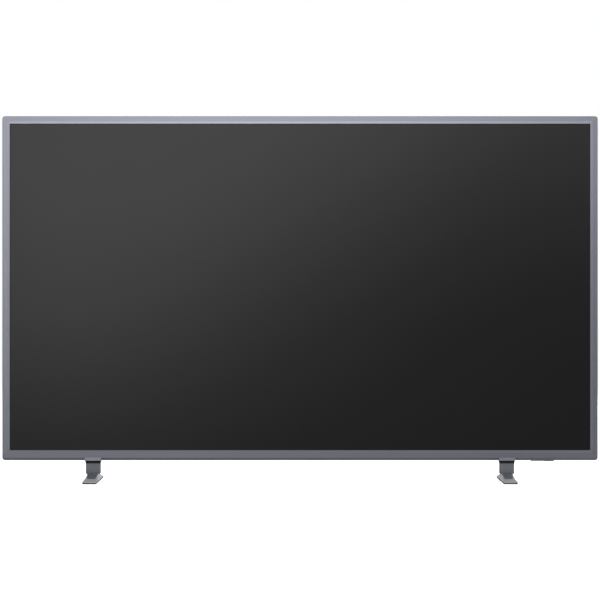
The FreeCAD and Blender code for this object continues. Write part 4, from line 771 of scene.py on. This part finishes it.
# Studio: a white floor that runs out of sight and a white background. One large soft lamp shines
# from the front, high and a little to the left, with weaker ones from the right, above and
# behind, and the photograph's level camera stands straight in front.

FLOOR_HALF = 30.0
FLOOR_GLOW = 0.62
SKY_LIGHT = 0.35  # on the set, behind a background that looks white


def white_to_camera(light):
    """1 where a ray comes from the camera, a reflection or glass."""
    rays = light.node("LightPath").socket.node.outputs
    camera_ray, glossy_ray, glass_ray = [
        Signal(light, rays[word])
        for word in ("Is Camera Ray", "Is Glossy Ray", "Is Transmission Ray")]
    return (camera_ray + glossy_ray + glass_ray) > 0.5


floor_mesh = bmesh.new()
bmesh.ops.create_grid(floor_mesh, x_segments=1, y_segments=1, size=FLOOR_HALF)
floor = new_object("floor", floor_mesh)
paper = Finish("floor_paper", (0.86, 0.86, 0.86), 0.9, fixed={"Emission Strength": 1.0})
fibres = paper.noise(300)
paper.set({
    "Base Color": paper.mixed(fibres, (0.85, 0.85, 0.85), (0.87, 0.87, 0.87)),
    "Emission Color": paper.mixed(white_to_camera(paper), (0, 0, 0), (FLOOR_GLOW,) * 3),
})
floor.data.materials.append(paper.material)


class Surround(Finish):
    """The nodes of the world, which has no surface."""

    def __init__(self, world):
        world.use_nodes = True
        self.tree = world.node_tree
        self.shader = self.tree.nodes["Background"]


world = bpy.data.worlds.new("studio")
bpy.context.scene.world = world
surround = Surround(world)
surround.set({
    "Color": (1, 1, 1),
    "Strength": SKY_LIGHT + white_to_camera(surround) * (1 - SKY_LIGHT),
})


def soft_lamp(name, place, target, size, watts, tilt=0.0):
    """A rectangle of light that faces its target, tilted about the way it shines."""
    data = bpy.data.lights.new(name, "AREA")
    data.shape = "RECTANGLE"
    data.size, data.size_y = size
    data.energy = watts
    lamp = bpy.data.objects.new(name, data)
    bpy.context.collection.objects.link(lamp)
    lamp.location = place
    aim = (Vector(target) - Vector(place)).to_track_quat("-Z", "Y").to_matrix()
    lamp.rotation_euler = (aim @ Matrix.Rotation(math.radians(tilt), 3, "Z")).to_euler()


soft_lamp("lamp_upper_left", (-0.49, -6.0, 1.47), (-0.49, 0, 1.47), (2.92, 1.97), 203, tilt=32)
soft_lamp("lamp_upper_right", (1.9, -6.0, 1.4), (1.9, 0, 1.4), (1.4, 1.2), 30)
soft_lamp("lamp_above", (0, 0.2, 3.6), (0, 0, 0), (2.4, 2.4), 70)
soft_lamp("lamp_behind", (2.4, 4.2, 2.4), (0, 0, 0.4), (2.4, 2.0), 130)

CAMERA_AWAY = 5.8
CAMERA_HEIGHT = 0.3769
FRAME_WIDTH = 1.2499  # what the picture spans at the bezel's front
front_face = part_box("bezel_top")[0].y
camera_data = bpy.data.cameras.new("camera")
camera_data.sensor_width = 36.0
camera_data.lens = camera_data.sensor_width * CAMERA_AWAY / FRAME_WIDTH
camera = bpy.data.objects.new("camera", camera_data)
bpy.context.collection.objects.link(camera)
camera.location = (0, front_face - CAMERA_AWAY, CAMERA_HEIGHT)
camera.rotation_euler = (math.radians(90), 0, 0)
scene = bpy.context.scene
scene.camera = camera
scene.view_settings.view_transform = "Standard"
